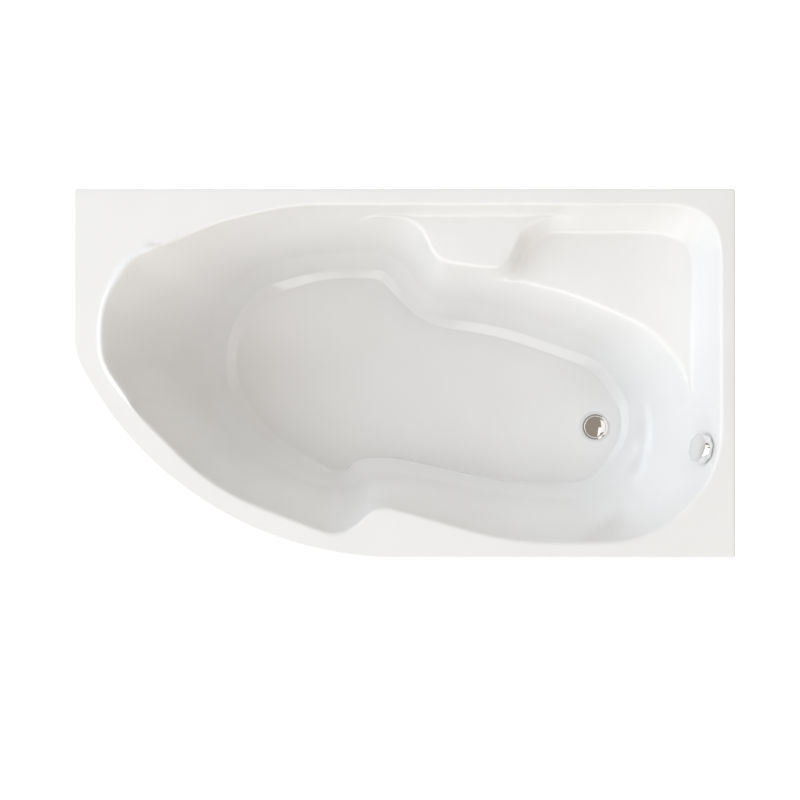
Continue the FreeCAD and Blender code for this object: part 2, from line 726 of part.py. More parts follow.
# The outlet pipe starts this share of the trap's radius from the middle,
# and each water hole fills this share of the overflow plate's ring.
outlet_start_share = 0.8
water_hole_share = 0.8
water_holes = 6
knob_scallops = 8
drain_seat = "(%s + sizes.shell_wall - sizes.flange_recess)" % under_floor
flange_bottom = "(%s + sizes.gasket_height)" % drain_seat
flange_top = "(%s + sizes.flange_height)" % flange_bottom
sleeve_radius = "(sizes.sleeve_diameter / 2)"
barrel_bore = "(sizes.sleeve_diameter / 2 + sizes.thread_fit)"
barrel_radius = "(%s + sizes.body_wall)" % barrel_bore
pipe_radius = "(sizes.pipe_diameter / 2)"
socket_bore = "(%s + sizes.thread_fit)" % pipe_radius
socket_radius = "(%s + sizes.socket_wall)" % socket_bore
cup_radius = "(sizes.overflow_cup_diameter / 2)"
cup_top = "(-sizes.overflow_gasket_height)"
cup_axis = "(%s - sizes.overflow_cup_wall - sizes.socket_gap - %s)" % (cup_top, socket_radius)
cup_bottom = "(%s - %s - sizes.overflow_cup_wall)" % (cup_axis, pipe_radius)
sleeve_fit_radius = "(sizes.overflow_hole / 2 - sizes.hole_clearance)"
cable_offset = "(%s + sizes.cable_gap + sizes.cable_diameter / 2)" % pipe_radius
gland_radius = "(sizes.cable_diameter / 2 + sizes.gland_wall)"
trap_radius = "(sizes.trap_diameter / 2)"
outlet_radius = "(sizes.outlet_diameter / 2)"
outlet_neck = "(%s - sizes.outlet_step)" % outlet_radius
outlet_level = "(%s + sizes.trap_wall + %s + sizes.trap_wall)" % (trap_bottom, outlet_radius)


def wallFrame(shell, opening, cove_crease):
    """The overflow's place: its origin on the outer seat, Z into the bath and X down the wall."""
    drain = planPoint(*drain_shares)
    rim_end = planPoint(1, overflow_line_share)
    top = size(rim_height)
    lip = crossing(opening[0], drain, rim_end)
    cove = crossing(cove_crease[0], drain, rim_end)
    lip.z = top
    cove.z = top - cove_crease[1]
    down = (cove - lip).normalize()
    side = FreeCAD.Vector(0, 0, 1).cross(rim_end - drain).normalize()
    into_bath = down.cross(side).normalize()
    if into_bath.z < 0:
        into_bath = -into_bath
    centre = lip + down * (size("sizes.overflow_depth") / -down.z)
    reach = into_bath * (size("sizes.shell_wall") * 4)
    through = Part.makeLine(centre + reach, centre - reach).common(shell)
    ends = [vertex.Point for vertex in through.Vertexes]
    ends.sort(key=lambda point: (point - centre).dot(into_bath))
    seat = ends[0] + into_bath * size("sizes.overflow_seat")
    rotation = FreeCAD.Rotation(down, into_bath.cross(down), into_bath, "ZXY")
    return FreeCAD.Placement(seat, rotation), (ends[-1] - seat).dot(into_bath)


def drainFrame():
    drain = planPoint(*drain_shares)
    toward_wall = planPoint(1, overflow_line_share) - drain
    turn = math.degrees(math.atan2(toward_wall.y, toward_wall.x))
    return FreeCAD.Placement(drain, FreeCAD.Rotation(FreeCAD.Vector(0, 0, 1), turn))


def discCutter(frame, radius, low, high):
    cutter = Part.makeCylinder(radius, high - low, FreeCAD.Vector(0, 0, low))
    cutter.Placement = frame
    return cutter


def bathShell(shell, drain_place, wall_place, wall_thickness):
    """The shell with its waste and overflow holes and their flat seats."""
    reach = size("sizes.shell_wall") * 2
    low = size(under_floor) - reach
    high = size(under_floor) + reach
    overrun = size("sizes.overrun")
    plate_seat = size("sizes.overflow_plate_diameter / 2") + overrun
    gasket_seat = size("sizes.overflow_gasket_diameter / 2") + overrun
    cutters = [
        discCutter(drain_place, size(sleeve_radius + " + sizes.hole_clearance"), low, high),
        discCutter(drain_place, size("sizes.recess_diameter / 2"), size(drain_seat), high),
        discCutter(wall_place, size("sizes.overflow_hole / 2"), -reach, reach),
        discCutter(wall_place, plate_seat, wall_thickness, reach),
        discCutter(wall_place, gasket_seat, -reach, 0)]
    for cutter in cutters:
        shell = shell.cut(cutter)
    feature = doc.addObject("Part::Feature", "bath_shell")
    feature.Label = "bath_shell"
    feature.Shape = shell
    return feature


def turned(label, frame, loops):
    body = newBody(label)
    revolve(body, loops)
    body.Placement = frame
    return body


def tube(inner, outer, low, high):
    """The corners of a turned ring, from formulas."""
    return [(inner, low), (outer, low), (outer, high), (inner, high)]


def drainFlange(frame):
    inner = "(%s - sizes.sleeve_wall)" % sleeve_radius
    edge = "(sizes.flange_diameter / 2)"
    low = "(%s - sizes.sleeve_length)" % flange_bottom
    half = "(%s - sizes.flange_height / 2)" % flange_top
    return turned("drain_flange", frame, [[
        (inner, low), (sleeve_radius, low), (sleeve_radius, flange_bottom), (edge, flange_bottom),
        (edge, half), ("(%s - sizes.flange_height / 2)" % edge, flange_top),
        (sleeve_radius, flange_top), (inner, half)]])


def drainPlug(frame):
    """The domed plug with its stem."""
    edge = "(sizes.plug_diameter / 2)"
    stem = "(sizes.plug_stem / 2)"
    under = "(%s + sizes.seal_height)" % flange_top
    rim = "(%s + sizes.plug_rim)" % under
    dome = [("%s * %s" % (edge, out), "%s + sizes.plug_dome * %s" % (rim, rise))
            for out, rise in plug_dome_shares]
    foot = "(%s - sizes.sleeve_length)" % under
    return turned("drain_plug", frame, [[
        ("0", foot), (stem, foot), (stem, under), (edge, under), (edge, rim), *dome,
        ("0", "(%s + sizes.plug_dome)" % rim)]])


def plugSeal(frame):
    inner = "(%s - sizes.sleeve_wall / 2)" % sleeve_radius
    outer = "(%s + sizes.seal_width)" % inner
    return turned("plug_seal", frame,
                  [tube(inner, outer, flange_top, "(%s + sizes.seal_height)" % flange_top)])


def drainGasket(label, frame, low):
    inner = "(%s + sizes.hole_clearance / 2)" % sleeve_radius
    edge = "(sizes.flange_diameter / 2)"
    return turned(label, frame, [tube(inner, edge, low, "(%s + sizes.gasket_height)" % low)])


def sidePort(body, across, level, radius, reach):
    """A round boss out along X from the middle of what carries it."""
    pad(body, circleSketch(body, "YZ_Plane", [(across, level, radius)]), reach)


def sideBore(body, level, reach):
    bore = circleSketch(body, "YZ_Plane", [("0", level, socket_bore)], reach)
    pocket(body, bore, reach)


def drainBody(frame):
    """The waste body under the floor, with a socket for the overflow pipe and a gland for the cable."""
    body = newBody("drain_body")
    edge = "(sizes.flange_diameter / 2)"
    flange_low = "(%s - sizes.body_flange_height)" % body_top
    revolve(body, [[("0", body_bottom), (barrel_radius, body_bottom), (barrel_radius, flange_low),
                    (edge, flange_low), (edge, body_top), ("0", body_top)]])
    reach = "(%s + sizes.socket_length)" % barrel_radius
    sidePort(body, "0", pipe_axis_level, socket_radius, reach)
    sidePort(body, "-" + cable_offset, pipe_axis_level, gland_radius, barrel_radius)
    sideBore(body, pipe_axis_level, reach)
    bore = circleSketch(body, "XY_Plane", [("0", "0", barrel_bore)], body_top)
    pocket(body, bore, "sizes.body_depth")
    body.Placement = frame
    return body


def trapNut(frame):
    inner = "(%s + sizes.thread_fit)" % barrel_radius
    outer = "(%s + sizes.trap_nut_wall)" % inner
    low = "(%s - sizes.trap_nut_height / 2)" % body_bottom
    return turned("trap_nut", frame, [tube(inner, outer, low, "(%s + sizes.trap_nut_height)" % low)])


def trapCup(frame):
    """The bottle of the trap, hanging from its nut, with the hole of its outlet."""
    body = newBody("trap_cup")
    wall = "sizes.trap_wall"
    shoulder = "(%s - sizes.trap_nut_height / 2 - sizes.overrun)" % body_bottom
    slope = "(%s - %s)" % (trap_radius, barrel_radius)
    corner = "(%s - %s)" % (shoulder, slope)
    inside_corner = "(%s - %s / 2)" % (corner, wall)
    revolve(body, [[
        ("0", trap_bottom), ("(%s - 2 * %s)" % (trap_radius, wall), trap_bottom),
        (trap_radius, "(%s + 2 * %s)" % (trap_bottom, wall)), (trap_radius, corner),
        (barrel_radius, shoulder), (barrel_radius, body_bottom), (barrel_bore, body_bottom),
        (barrel_bore, shoulder), ("(%s - %s)" % (trap_radius, wall), inside_corner),
        ("(%s - %s)" % (trap_radius, wall), "(%s + 2 * %s)" % (trap_bottom, wall)),
        ("(%s - 3 * %s)" % (trap_radius, wall), "(%s + %s)" % (trap_bottom, wall)),
        ("0", "(%s + %s)" % (trap_bottom, wall))]])
    outlet = circleSketch(body, "YZ_Plane", [("0", outlet_level, outlet_neck)], trap_radius)
    pocket(body, outlet, trap_radius)
    body.Placement = frame
    return body


def outletPipe(frame):
    """The outlet pipe: a neck held by the nut, and the wider free end beyond it."""
    body = newBody("trap_outlet_pipe")
    bore = "(%s - sizes.outlet_wall)" % outlet_neck
    start = "(%s * %s)" % (trap_radius, outlet_start_share)
    end = "(%s + sizes.outlet_nut_length + sizes.outlet_gap)" % trap_radius
    runs = [(outlet_neck, start, "%s - %s" % (end, start)), (outlet_radius, end, "sizes.outlet_free_length")]
    for outer, offset, length in runs:
        circles = [("0", outlet_level, outer), ("0", outlet_level, bore)]
        pad(body, circleSketch(body, "YZ_Plane", circles, offset), length)
    body.Placement = frame
    return body


def outletNut(frame):
    body = newBody("trap_outlet_nut")
    bore = "(%s + sizes.thread_fit)" % outlet_neck
    outer = "(%s + sizes.outlet_nut_wall)" % bore
    circles = [("0", outlet_level, outer), ("0", outlet_level, bore)]
    rings = circleSketch(body, "YZ_Plane", circles, trap_radius)
    pad(body, rings, "sizes.outlet_nut_length")
    body.Placement = frame
    return body


def overflowGasket(frame):
    inner = "(sizes.overflow_hole / 2)"
    outer = "(sizes.overflow_gasket_diameter / 2)"
    return turned("overflow_gasket", frame, [tube(inner, outer, cup_top, "0")])


def overflowCup(frame):
    """The cup behind the wall, with a socket for the pipe and a gland for the cable."""
    body = newBody("overflow_cup")
    edge = "(sizes.overflow_gasket_diameter / 2)"
    flange_low = "(%s - sizes.overflow_cup_wall)" % cup_top
    revolve(body, [[("0", cup_bottom), (cup_radius, cup_bottom), (cup_radius, flange_low),
                    (edge, flange_low), (edge, cup_top), ("0", cup_top)]])
    reach = "(%s + sizes.socket_length)" % cup_radius
    sidePort(body, "0", cup_axis, socket_radius, reach)
    sidePort(body, cable_offset, cup_axis, gland_radius, cup_radius)
    sideBore(body, cup_axis, reach)
    bore = circleSketch(body, "XY_Plane", [("0", "0", "%s - sizes.overflow_cup_wall" % cup_radius)], cup_top)
    pocket(body, bore, "%s - %s - sizes.overflow_cup_wall" % (cup_top, cup_bottom))
    body.Placement = frame
    return body


def overflowPlate(frame, wall_thickness):
    """The plate inside the bath with its threaded sleeve and its water holes."""
    body = newBody("overflow_plate")
    low = "%s - sizes.overflow_plate_height" % cup_top
    seat = "%.6f" % wall_thickness
    top = "(%s + sizes.overflow_plate_height)" % seat
    inner = "(%s - sizes.sleeve_wall)" % sleeve_fit_radius
    spindle = "(sizes.spindle_diameter / 2 + sizes.nut_fit)"
    edge = "(sizes.overflow_plate_diameter / 2)"
    revolve(body, [[(spindle, seat), (inner, seat), (inner, low), (sleeve_fit_radius, low),
                    (sleeve_fit_radius, seat), (edge, seat), (edge, top), (spindle, top)]])
    hole = "(%s - %s) / 2 * %s" % (inner, spindle, water_hole_share)
    middle = "(%s + %s) / 2" % (inner, spindle)
    turns = [360 / water_holes * k for k in range(water_holes)]
    holes = [("%s * cos(%g deg)" % (middle, turn), "%s * sin(%g deg)" % (middle, turn), hole)
             for turn in turns]
    pocket(body, circleSketch(body, "XY_Plane", holes, top), "sizes.overflow_plate_height")
    body.Placement = frame
    return body


def overflowKnob(frame, wall_thickness):
    """The round knob with eight scallops, open at its back."""
    body = newBody("overflow_knob")
    base = "(%.6f + sizes.overflow_plate_height + sizes.knob_gap)" % wall_thickness
    top = "(%s + sizes.knob_height)" % base
    edge = "(sizes.knob_diameter / 2)"
    inner = "(%s - sizes.knob_scallop_depth - sizes.knob_wall)" % edge
    face_edge = "(%s - sizes.knob_wall / 2)" % edge
    hollow = "(%s - sizes.knob_wall)" % top
    revolve(body, [[("0", hollow), (inner, hollow), (inner, base), (edge, base),
                    (edge, "(%s - sizes.knob_wall / 2)" % top), (face_edge, top), ("0", top)]])
    centre = "(%s + sizes.knob_scallop_diameter / 2 - sizes.knob_scallop_depth)" % edge
    scallop = circleSketch(body, "XY_Plane", [(centre, "0", "sizes.knob_scallop_diameter / 2")], top)
    cut = pocket(body, scallop, "sizes.knob_height + sizes.overrun")
    pattern = body.newObject("PartDesign::PolarPattern", "knob_scallops")
    pattern.Originals = [cut]
    pattern.Angle = 360
    pattern.Occurrences = knob_scallops
    pattern.Axis = (originPlane(body, "Z_Axis"), [""])
    body.Tip = pattern
    body.Placement = frame
    return body


def knobSpindle(frame, wall_thickness):
    top = "(%.6f + sizes.overflow_plate_height + sizes.knob_gap + sizes.knob_height - sizes.knob_wall)"
    radius = "(sizes.spindle_diameter / 2)"
    return turned("knob_spindle", frame, [tube("0", radius, cup_axis, top % wall_thickness)])


def bentTube(label, start, corner, end, radius, bore, bend):
    """A round tube along two straight runs joined by one arc, straight where the nuts hold it."""
    first = (start - corner).normalize()
    second = (end - corner).normalize()
    half = first.getAngle(second) / 2
    straight = size("sizes.socket_length + sizes.socket_length / 2")
    shortest = min((start - corner).Length, (end - corner).Length)
    reach = min(bend / math.tan(half), shortest - straight)
    bend = reach * math.tan(half)
    middle = corner + (first + second).normalize() * (bend / math.sin(half) - bend)
    arc_start = corner + first * reach
    arc_end = corner + second * reach
    route = Part.Wire([Part.makeLine(start, arc_start), Part.Arc(arc_start, middle, arc_end).toShape(),
                       Part.makeLine(arc_end, end)])
    tubes = []
    for wall_radius in (radius, bore):
        if wall_radius:
            ring = Part.Wire([Part.makeCircle(wall_radius, start, -first)])
            tubes.append(route.makePipeShell([ring], True, False))
    shape = tubes[0] if len(tubes) == 1 else tubes[0].cut(tubes[1])
    feature = doc.addObject("Part::Feature", label)
    feature.Label = label
    feature.Shape = shape
    return feature


def pipeRoute(drain_place, wall_place, offset, wall_start, drain_start):
    """Start, corner and end of a run down the wall and across to the waste body."""
    start = wall_place.multVec(FreeCAD.Vector(wall_start, offset, size(cup_axis)))
    down = wall_place.Rotation.multVec(FreeCAD.Vector(1, 0, 0))
    level = size(pipe_axis_level)
    corner = start + down * ((start.z - level) / -down.z)
    end = drain_place.multVec(FreeCAD.Vector(drain_start, -offset, level))
    return start, corner, end


def overflowPipe(drain_place, wall_place):
    wall_start = size("%s + sizes.socket_wall" % cup_radius)
    drain_start = size("%s + sizes.socket_wall" % barrel_radius)
    start, corner, end = pipeRoute(drain_place, wall_place, 0, wall_start, drain_start)
    bore = size("%s - sizes.pipe_wall" % pipe_radius)
    return bentTube("overflow_pipe", start, corner, end, size(pipe_radius), bore, size("sizes.pipe_bend"))


def controlCable(drain_place, wall_place):
    """The sheathed cable from the knob to the plug, beside the pipe."""
    start, corner, end = pipeRoute(drain_place, wall_place, size(cable_offset), size(cup_radius),
                                   size(barrel_radius))
    return bentTube("control_cable", start, corner, end, size("sizes.cable_diameter / 2"), 0,
                    size("sizes.pipe_bend"))


def pipeNut(label, frame, level, carrier_radius):
    """The union nut over the end of a socket."""
    body = newBody(label)
    inner = "(%s + sizes.thread_fit)" % socket_radius
    outer = "(%s + sizes.socket_wall)" % inner
    start = "(%s + sizes.socket_length / 2)" % carrier_radius
    rings = circleSketch(body, "YZ_Plane", [("0", level, outer), ("0", level, inner)], start)
    pad(body, rings, "sizes.socket_length")
    body.Placement = frame
    return body


crease_list = creases()
lines = guideLines()
profiles = [wallProfile(crease_list, inner, outer) for inner, outer in lines]
closed_shell = wholeShell(profiles, lines)
drain_place = drainFrame()
wall_place, wall_thickness = wallFrame(closed_shell, crease_list[0], crease_list[6])
bodies = [bathShell(closed_shell, drain_place, wall_place, wall_thickness)]
bodies.append(baseBoard())
bodies.append(longRail("long_rail_back", "(-sizes.length / 2 + sizes.long_rail_end_gap)", "back"))
bodies.append(longRail("long_rail_front", "(sizes.length / 2 * %s)" % front_rail_start_share, "front"))
for rail in cross_rails:
    bodies.append(crossRail(*rail))
for name, x, y, bottom in posts:
    bodies.append(post(name, x, y, bottom))
    bodies.append(postPad(name, x, y))
for name, x, y in footPlaces():
    bodies.append(footStud(name, x, y))
    bodies.append(footPad(name, x, y))
bodies.append(nuts("foot_nuts_upper", cross_bottom))
bodies.append(nuts("foot_nuts_lower", "%s - sizes.nut_height" % rail_bottom))
bodies.append(boardScrews())
for maker in (drainFlange, drainPlug, plugSeal, drainBody, trapNut, trapCup, outletPipe, outletNut):
    bodies.append(maker(drain_place))
bodies.append(drainGasket("drain_gasket_upper", drain_place, drain_seat))
bodies.append(drainGasket("drain_gasket_lower", drain_place, body_top))
bodies.append(overflowGasket(wall_place))
bodies.append(overflowCup(wall_place))
for maker in (overflowPlate, overflowKnob, knobSpindle):
    bodies.append(maker(wall_place, wall_thickness))
bodies.append(overflowPipe(drain_place, wall_place))
bodies.append(controlCable(drain_place, wall_place))
bodies.append(pipeNut("pipe_nut_top", wall_place, cup_axis, cup_radius))
bodies.append(pipeNut("pipe_nut_bottom", drain_place, pipe_axis_level, barrel_radius))
doc.recompute()

for item in doc.Objects:
    if "Invalid" in item.State or "Error" in item.State:
        raise RuntimeError("failed: " + item.Label)
for body in bodies:
    if body.Shape.isNull() or not body.Shape.isValid():
        raise RuntimeError("bad shape: " + body.Label)
for body in bodies:
    body.Shape.exportStep("parts/%s.step" % body.Label)
    box = body.Shape.BoundBox
    print(body.Label, len(body.Shape.Solids), round(body.Shape.Volume), [round(value, 1) for value in
          (box.XMin, box.XMax, box.YMin, box.YMax, box.ZMin, box.ZMax)])
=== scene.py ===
import json
import math

import bmesh
import bpy
import numpy as np
from mathutils import Matrix, Vector


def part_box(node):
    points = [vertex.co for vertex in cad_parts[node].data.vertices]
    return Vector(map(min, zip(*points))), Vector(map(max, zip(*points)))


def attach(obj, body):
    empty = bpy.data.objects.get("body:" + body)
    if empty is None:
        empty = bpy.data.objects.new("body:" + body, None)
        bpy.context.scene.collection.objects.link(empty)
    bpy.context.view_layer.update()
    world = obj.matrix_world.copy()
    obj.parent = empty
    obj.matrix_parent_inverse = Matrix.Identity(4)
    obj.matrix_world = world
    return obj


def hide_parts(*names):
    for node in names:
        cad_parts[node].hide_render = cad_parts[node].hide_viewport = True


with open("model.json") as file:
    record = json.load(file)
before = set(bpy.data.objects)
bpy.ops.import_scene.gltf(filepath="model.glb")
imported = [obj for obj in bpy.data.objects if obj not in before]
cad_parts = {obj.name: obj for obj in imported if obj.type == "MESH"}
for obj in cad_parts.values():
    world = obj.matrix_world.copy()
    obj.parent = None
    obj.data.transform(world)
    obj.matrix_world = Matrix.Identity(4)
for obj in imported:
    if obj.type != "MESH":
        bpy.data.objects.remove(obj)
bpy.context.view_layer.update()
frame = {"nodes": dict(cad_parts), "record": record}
bpy.ops.object.select_all(action="DESELECT")
scene = bpy.context.scene
print("frame loaded:", len(frame["nodes"]), "nodes")


def pickOnly(piece):
    bpy.ops.object.select_all(action="DESELECT")
    piece.select_set(True)
    bpy.context.view_layer.objects.active = piece


def editPiece(piece, selectMode):
    pickOnly(piece)
    bpy.ops.object.mode_set(mode="EDIT")
    bpy.ops.mesh.select_mode(type=selectMode)


def applyModifiers(piece):
    pickOnly(piece)
    for modifier in list(piece.modifiers):
        bpy.ops.object.modifier_apply(modifier=modifier.name)


def smoothPiece(piece, angle=30):
    pickOnly(piece)
    bpy.ops.object.shade_smooth_by_angle(angle=math.radians(angle))


# The shell is made from sections along guide lines, because its profile changes all the way round
# and no primitive comes near it.
bathShell = {
    "halfLength": 0.850,
    "halfWidth": 0.475,
    "rimHeight": 0.600,
    "skirtHeight": 0.035,
    "cornerRadius": 0.010,  # stays above the edge's radius and a strip together
    "edgeRadius": 0.006,
    "edgeSteps": 6,
    "broadCorner": 0.05,  # a corner of the rim from this radius up counts as broad
    "cornerCuts": {"sharp": 8, "broad": 64},
    "wall": 0.006,
    "bowlDepth": 0.432,
    "floorFall": 0.004,
    "drain": (0.53295, -0.142975),
    "drainHole": 0.023,
    "drainRecess": 0.042,
    "drainSeat": 0.162,
    "drainEdge": 0.0006,  # how far the recess's rim falls below the floor
    "drainFoot": ((0.0004, 0.0003), (0.0012, 0)),  # its foot: in from the side, up from the seat
    "drainSides": 96,
    "floorUnderside": 0.158,
    "flatRows": 4,  # the last rows of the hidden side, which lie flat
    "lip": 0.010,
    "lipSteps": 12,
    "backLipRows": (0, 1, 2, 5, 8, 12),  # the hidden side has only these rows of the lip
    "strip": 0.0015,  # narrow flat strip beside a rounding, which keeps its shading even
    "headrestDrop": 0.022,
    "headrestReach": 0.0027,  # how far outside the opening the headrest's roll starts
    "headrestLead": 0.27,  # share of the roll's span over which it leaves the deck level
    "headrestTail": 1.16,  # and over which it meets the wall along it
    "headrestSwell": 0.014,  # how far the roll's foot stands out from the wall
    "shelfDepth": 0.068,
    "seatDepth": 0.125,
    "ledgeSpread": 0.012,
    "coveRise": 0.062,
    "stepRise": 0.014,
    "floorReach": 0.03,  # how far the last rows run in over the floor
    "floorRowShares": (0.25, 0.4),
    "columnSpacing": 0.009,
    "leastColumns": 8,  # between two guide lines
    "cornerSteps": 24,
    "leastBandShare": 0.15,  # how clear of its neighbours a crease stays where a guide line misses it
    # reach of the rounding at each crease, from the shelf's foot down to the floor's edge
    "rounding": (0.014, 0.013, 0.016, 0.015, 0.060, 0.0025, 0.0025),
    "roundingRows": 6,
    "mostRoundingShare": 0.46,  # of the narrower band beside the crease
    "longBands": (1, 5),  # the bands above these creases, from the shelf's foot as 1, get more rows
    "longBandRows": 4,
    # how often each set of points is evened out from column to column
    "evening": {"roll": 10, "top": 4, "wall": 8},
    "smoothAngle": 32,
    # outlines seen from above: share of half the length, share of half the width, rounding share
    "outlines": {
        "rim": [(1, 1, 0), (-1, 1, 0), (-1, 0.107, 0.1), (-0.671, -1, 0.92), (1, -1, 0)],
        "opening": [
            (0.956, 0.912, 0.2), (-0.344, 0.912, 0.4), (-0.575, 0.813, 0.4), (-0.733, 0.688, 0.1),
            (-0.768, 0.715, 0.1), (-0.857, 0.624, 0.4), (-0.928, 0.354, 0.45), (-0.928, 0.062, 0.45),
            (-0.852, -0.132, 0.3), (-0.572, -0.629, 0.4), (-0.188, -0.891, 0.4), (-0.077, -0.707, 0.3),
            (0.333, -0.913, 0.3), (0.748, -0.913, 0.49), (0.956, -0.543, 0.49)],
        "headrest": [
            (-0.722, 0.686, 0), (-0.801, 0.638, 0.5), (-0.907, 0.383, 0.45), (-0.907, 0.071, 0.45),
            (-0.838, -0.115, 0.3), (-0.815, -0.21, 0)],
        "shelfFoot": [(-0.124, 0.872, 0), (0.494, 0.872, 0)],
        "shelfEdge": [
            (-0.124, 0.864, 0), (0.002, 0.86, 0.4), (0.06, 0.792, 0.45), (0.09, 0.617, 0.45),
            (0.317, 0.563, 0.45), (0.353, 0.792, 0.45), (0.439, 0.86, 0.4), (0.494, 0.864, 0)],
        "seatFoot": [
            (0.286, 0.521, 0), (0.351, 0.537, 0.4), (0.367, 0.687, 0.45), (0.429, 0.789, 0.45),
            (0.797, 0.789, 0.4), (0.886, 0.725, 0.45), (0.895, 0.62, 0.4), (0.889, -0.154, 0)],
        "seatEdge": [
            (0.286, 0.512, 0), (0.357, 0.512, 0.3), (0.528, 0.432, 0.4), (0.759, 0.25, 0.4),
            (0.861, 0.05, 0.45), (0.889, -0.154, 0)],
        "cove": [
            (-0.059, 0.7, 0.35), (-0.273, 0.7, 0.45), (-0.522, 0.587, 0.45), (-0.636, 0.234, 0.45),
            (-0.636, -0.097, 0.45), (-0.499, -0.479, 0.45), (-0.257, -0.642, 0.45), (-0.176, -0.642, 0.45),
            (-0.117, -0.566, 0.4), (-0.014, -0.561, 0.4), (0.375, -0.711, 0.45), (0.634, -0.711, 0.45),
            (0.767, -0.433, 0.45), (0.767, -0.132, 0.4), (0.654, 0.158, 0.45), (0.31, 0.384, 0.4),
            (0.077, 0.431, 0.45), (0.003, 0.622, 0.45)],
        "step": [
            (-0.053, 0.62, 0.4), (-0.272, 0.62, 0.45), (-0.491, 0.506, 0.45), (-0.582, 0.225, 0.45),
            (-0.582, -0.073, 0.45), (-0.465, -0.395, 0.45), (-0.216, -0.605, 0.25), (-0.154, -0.479, 0.4),
            (-0.03, -0.477, 0.4), (0.379, -0.646, 0.45), (0.634, -0.646, 0.45), (0.738, -0.354, 0.45),
            (0.738, -0.161, 0.35), (0.65, 0.085, 0.45), (0.313, 0.296, 0.45), (0.078, 0.348, 0.45),
            (-0.014, 0.5, 0.45)],
        "floor": [
            (-0.079, 0.572, 0.4), (-0.259, 0.572, 0.45), (-0.446, 0.467, 0.45), (-0.551, 0.209, 0.45),
            (-0.548, -0.049, 0.45), (-0.446, -0.331, 0.45), (-0.22, -0.577, 0.25), (-0.154, -0.495, 0.4),
            (-0.03, -0.495, 0.4), (0.38, -0.63, 0.45), (0.622, -0.63, 0.45), (0.714, -0.343, 0.45),
            (0.711, -0.202, 0.35), (0.626, 0.033, 0.45), (0.314, 0.232, 0.45), (0.078, 0.291, 0.45),
            (-0.03, 0.467, 0.45)],
    },
    # guide lines across the wall: a point over the floor, then one outside the opening
    "guides": [
        (0.67, -0.29, 1.00, -0.31), (0.64, -0.10, 1.00, 0.23), (0.61, -0.03, 1.00, 1.00),
        (0.58, 0.01, 0.77, 1.00), (0.54, 0.03, 0.59, 1.00), (0.51, 0.06, 0.44, 1.00),
        (0.47, 0.08, 0.34, 1.00), (0.38, 0.14, 0.26, 1.00), (0.25, 0.21, 0.19, 1.00),
        (0.12, 0.28, 0.16, 1.00), (0.02, 0.34, 0.12, 1.00), (-0.04, 0.44, 0.05, 1.00),
        (-0.09, 0.50, -0.06, 1.00), (-0.19, 0.52, -0.19, 1.00), (-0.31, 0.49, -0.41, 1.00),
        (-0.41, 0.41, -0.68, 1.00), (-0.48, 0.28, -1.00, 0.99), (-0.51, 0.15, -1.00, 0.45),
        (-0.51, 0.00, -1.00, 0.13), (-0.48, -0.14, -0.92, -0.28), (-0.41, -0.29, -0.74, -0.57),
        (-0.32, -0.40, -0.47, -0.93), (-0.26, -0.45, -0.26, -1.09), (-0.20, -0.44, -0.16, -1.09),
        (-0.15, -0.40, -0.07, -1.09), (-0.03, -0.42, 0.03, -1.09), (0.15, -0.51, 0.17, -1.09),
        (0.35, -0.55, 0.38, -1.09), (0.51, -0.55, 0.59, -1.09), (0.61, -0.50, 0.86, -1.09),
        (0.66, -0.40, 1.07, -0.79)],
}
# places of the creases in the list that bathCreases gives
creaseAt = {"opening": 0, "headrest": 1, "shelfFoot": 2, "cove": 6, "step": 7, "floor": 8}
shellSides = {"gloss": 0, "laminate": 1}  # its material slots


def planPoint(xShare, yShare):
    return np.array((xShare * bathShell["halfLength"], yShare * bathShell["halfWidth"]))


def roundingPoint(start, corner, end, u):
    return start * (1 - u) ** 2 + corner * 2 * u * (1 - u) + end * u ** 2


def roundedOutline(name, closed=True):
    shares = bathShell["outlines"][name]
    corners = [planPoint(x, y) for x, y, rounding in shares]
    count = len(corners)
    steps = bathShell["cornerSteps"]
    outline = []
    for i, corner in enumerate(corners):
        if not closed and i in (0, count - 1):
            outline.append(corner)
            continue
        before = corners[i - 1] - corner
        after = corners[(i + 1) % count] - corner
        reach = shares[i][2] * min(np.linalg.norm(before), np.linalg.norm(after))
        start = corner + before / np.linalg.norm(before) * reach
        end = corner + after / np.linalg.norm(after) * reach
        for k in range(steps + 1):
            outline.append(roundingPoint(start, corner, end, k / steps))
    if closed:
        outline.append(outline[0])
    return np.array(outline)


def crossing(outline, inner, outer):
    # the outermost point where the line from inner to outer meets the outline
    along = outer - inner
    a = outline[:-1]
    side = outline[1:] - a
    cross = along[0] * side[:, 1] - along[1] * side[:, 0]
    cross = np.where(cross == 0, np.finfo(float).eps, cross)
    gap = a - inner
    t = (gap[:, 0] * side[:, 1] - gap[:, 1] * side[:, 0]) / cross
    s = (gap[:, 0] * along[1] - gap[:, 1] * along[0]) / cross
    hits = t[(s >= 0) & (s <= 1) & (t > 0)]
    return inner + along * hits.max() if len(hits) else None


def guideLines(opening):
    # columns of the bowl, close together where the opening is long or turns
    lines = []
    guides = bathShell["guides"]
    for i, shares in enumerate(guides):
        following = guides[(i + 1) % len(guides)]
        ends = [crossing(opening, planPoint(*g[:2]), planPoint(*g[2:])) for g in (shares, following)]
        count = round(np.linalg.norm(ends[0] - ends[1]) / bathShell["columnSpacing"])
        count = max(bathShell["leastColumns"], count)
        for k in range(count):
            u = k / count
            mixed = [a * (1 - u) + b * u for a, b in zip(shares, following)]
            lines.append((planPoint(*mixed[:2]), planPoint(*mixed[2:])))
    return lines


def floorDrop(x):
    head = min(share[0] for share in bathShell["outlines"]["floor"]) * bathShell["halfLength"]
    return bathShell["floorFall"] * (x - head) / (bathShell["drain"][0] - head)


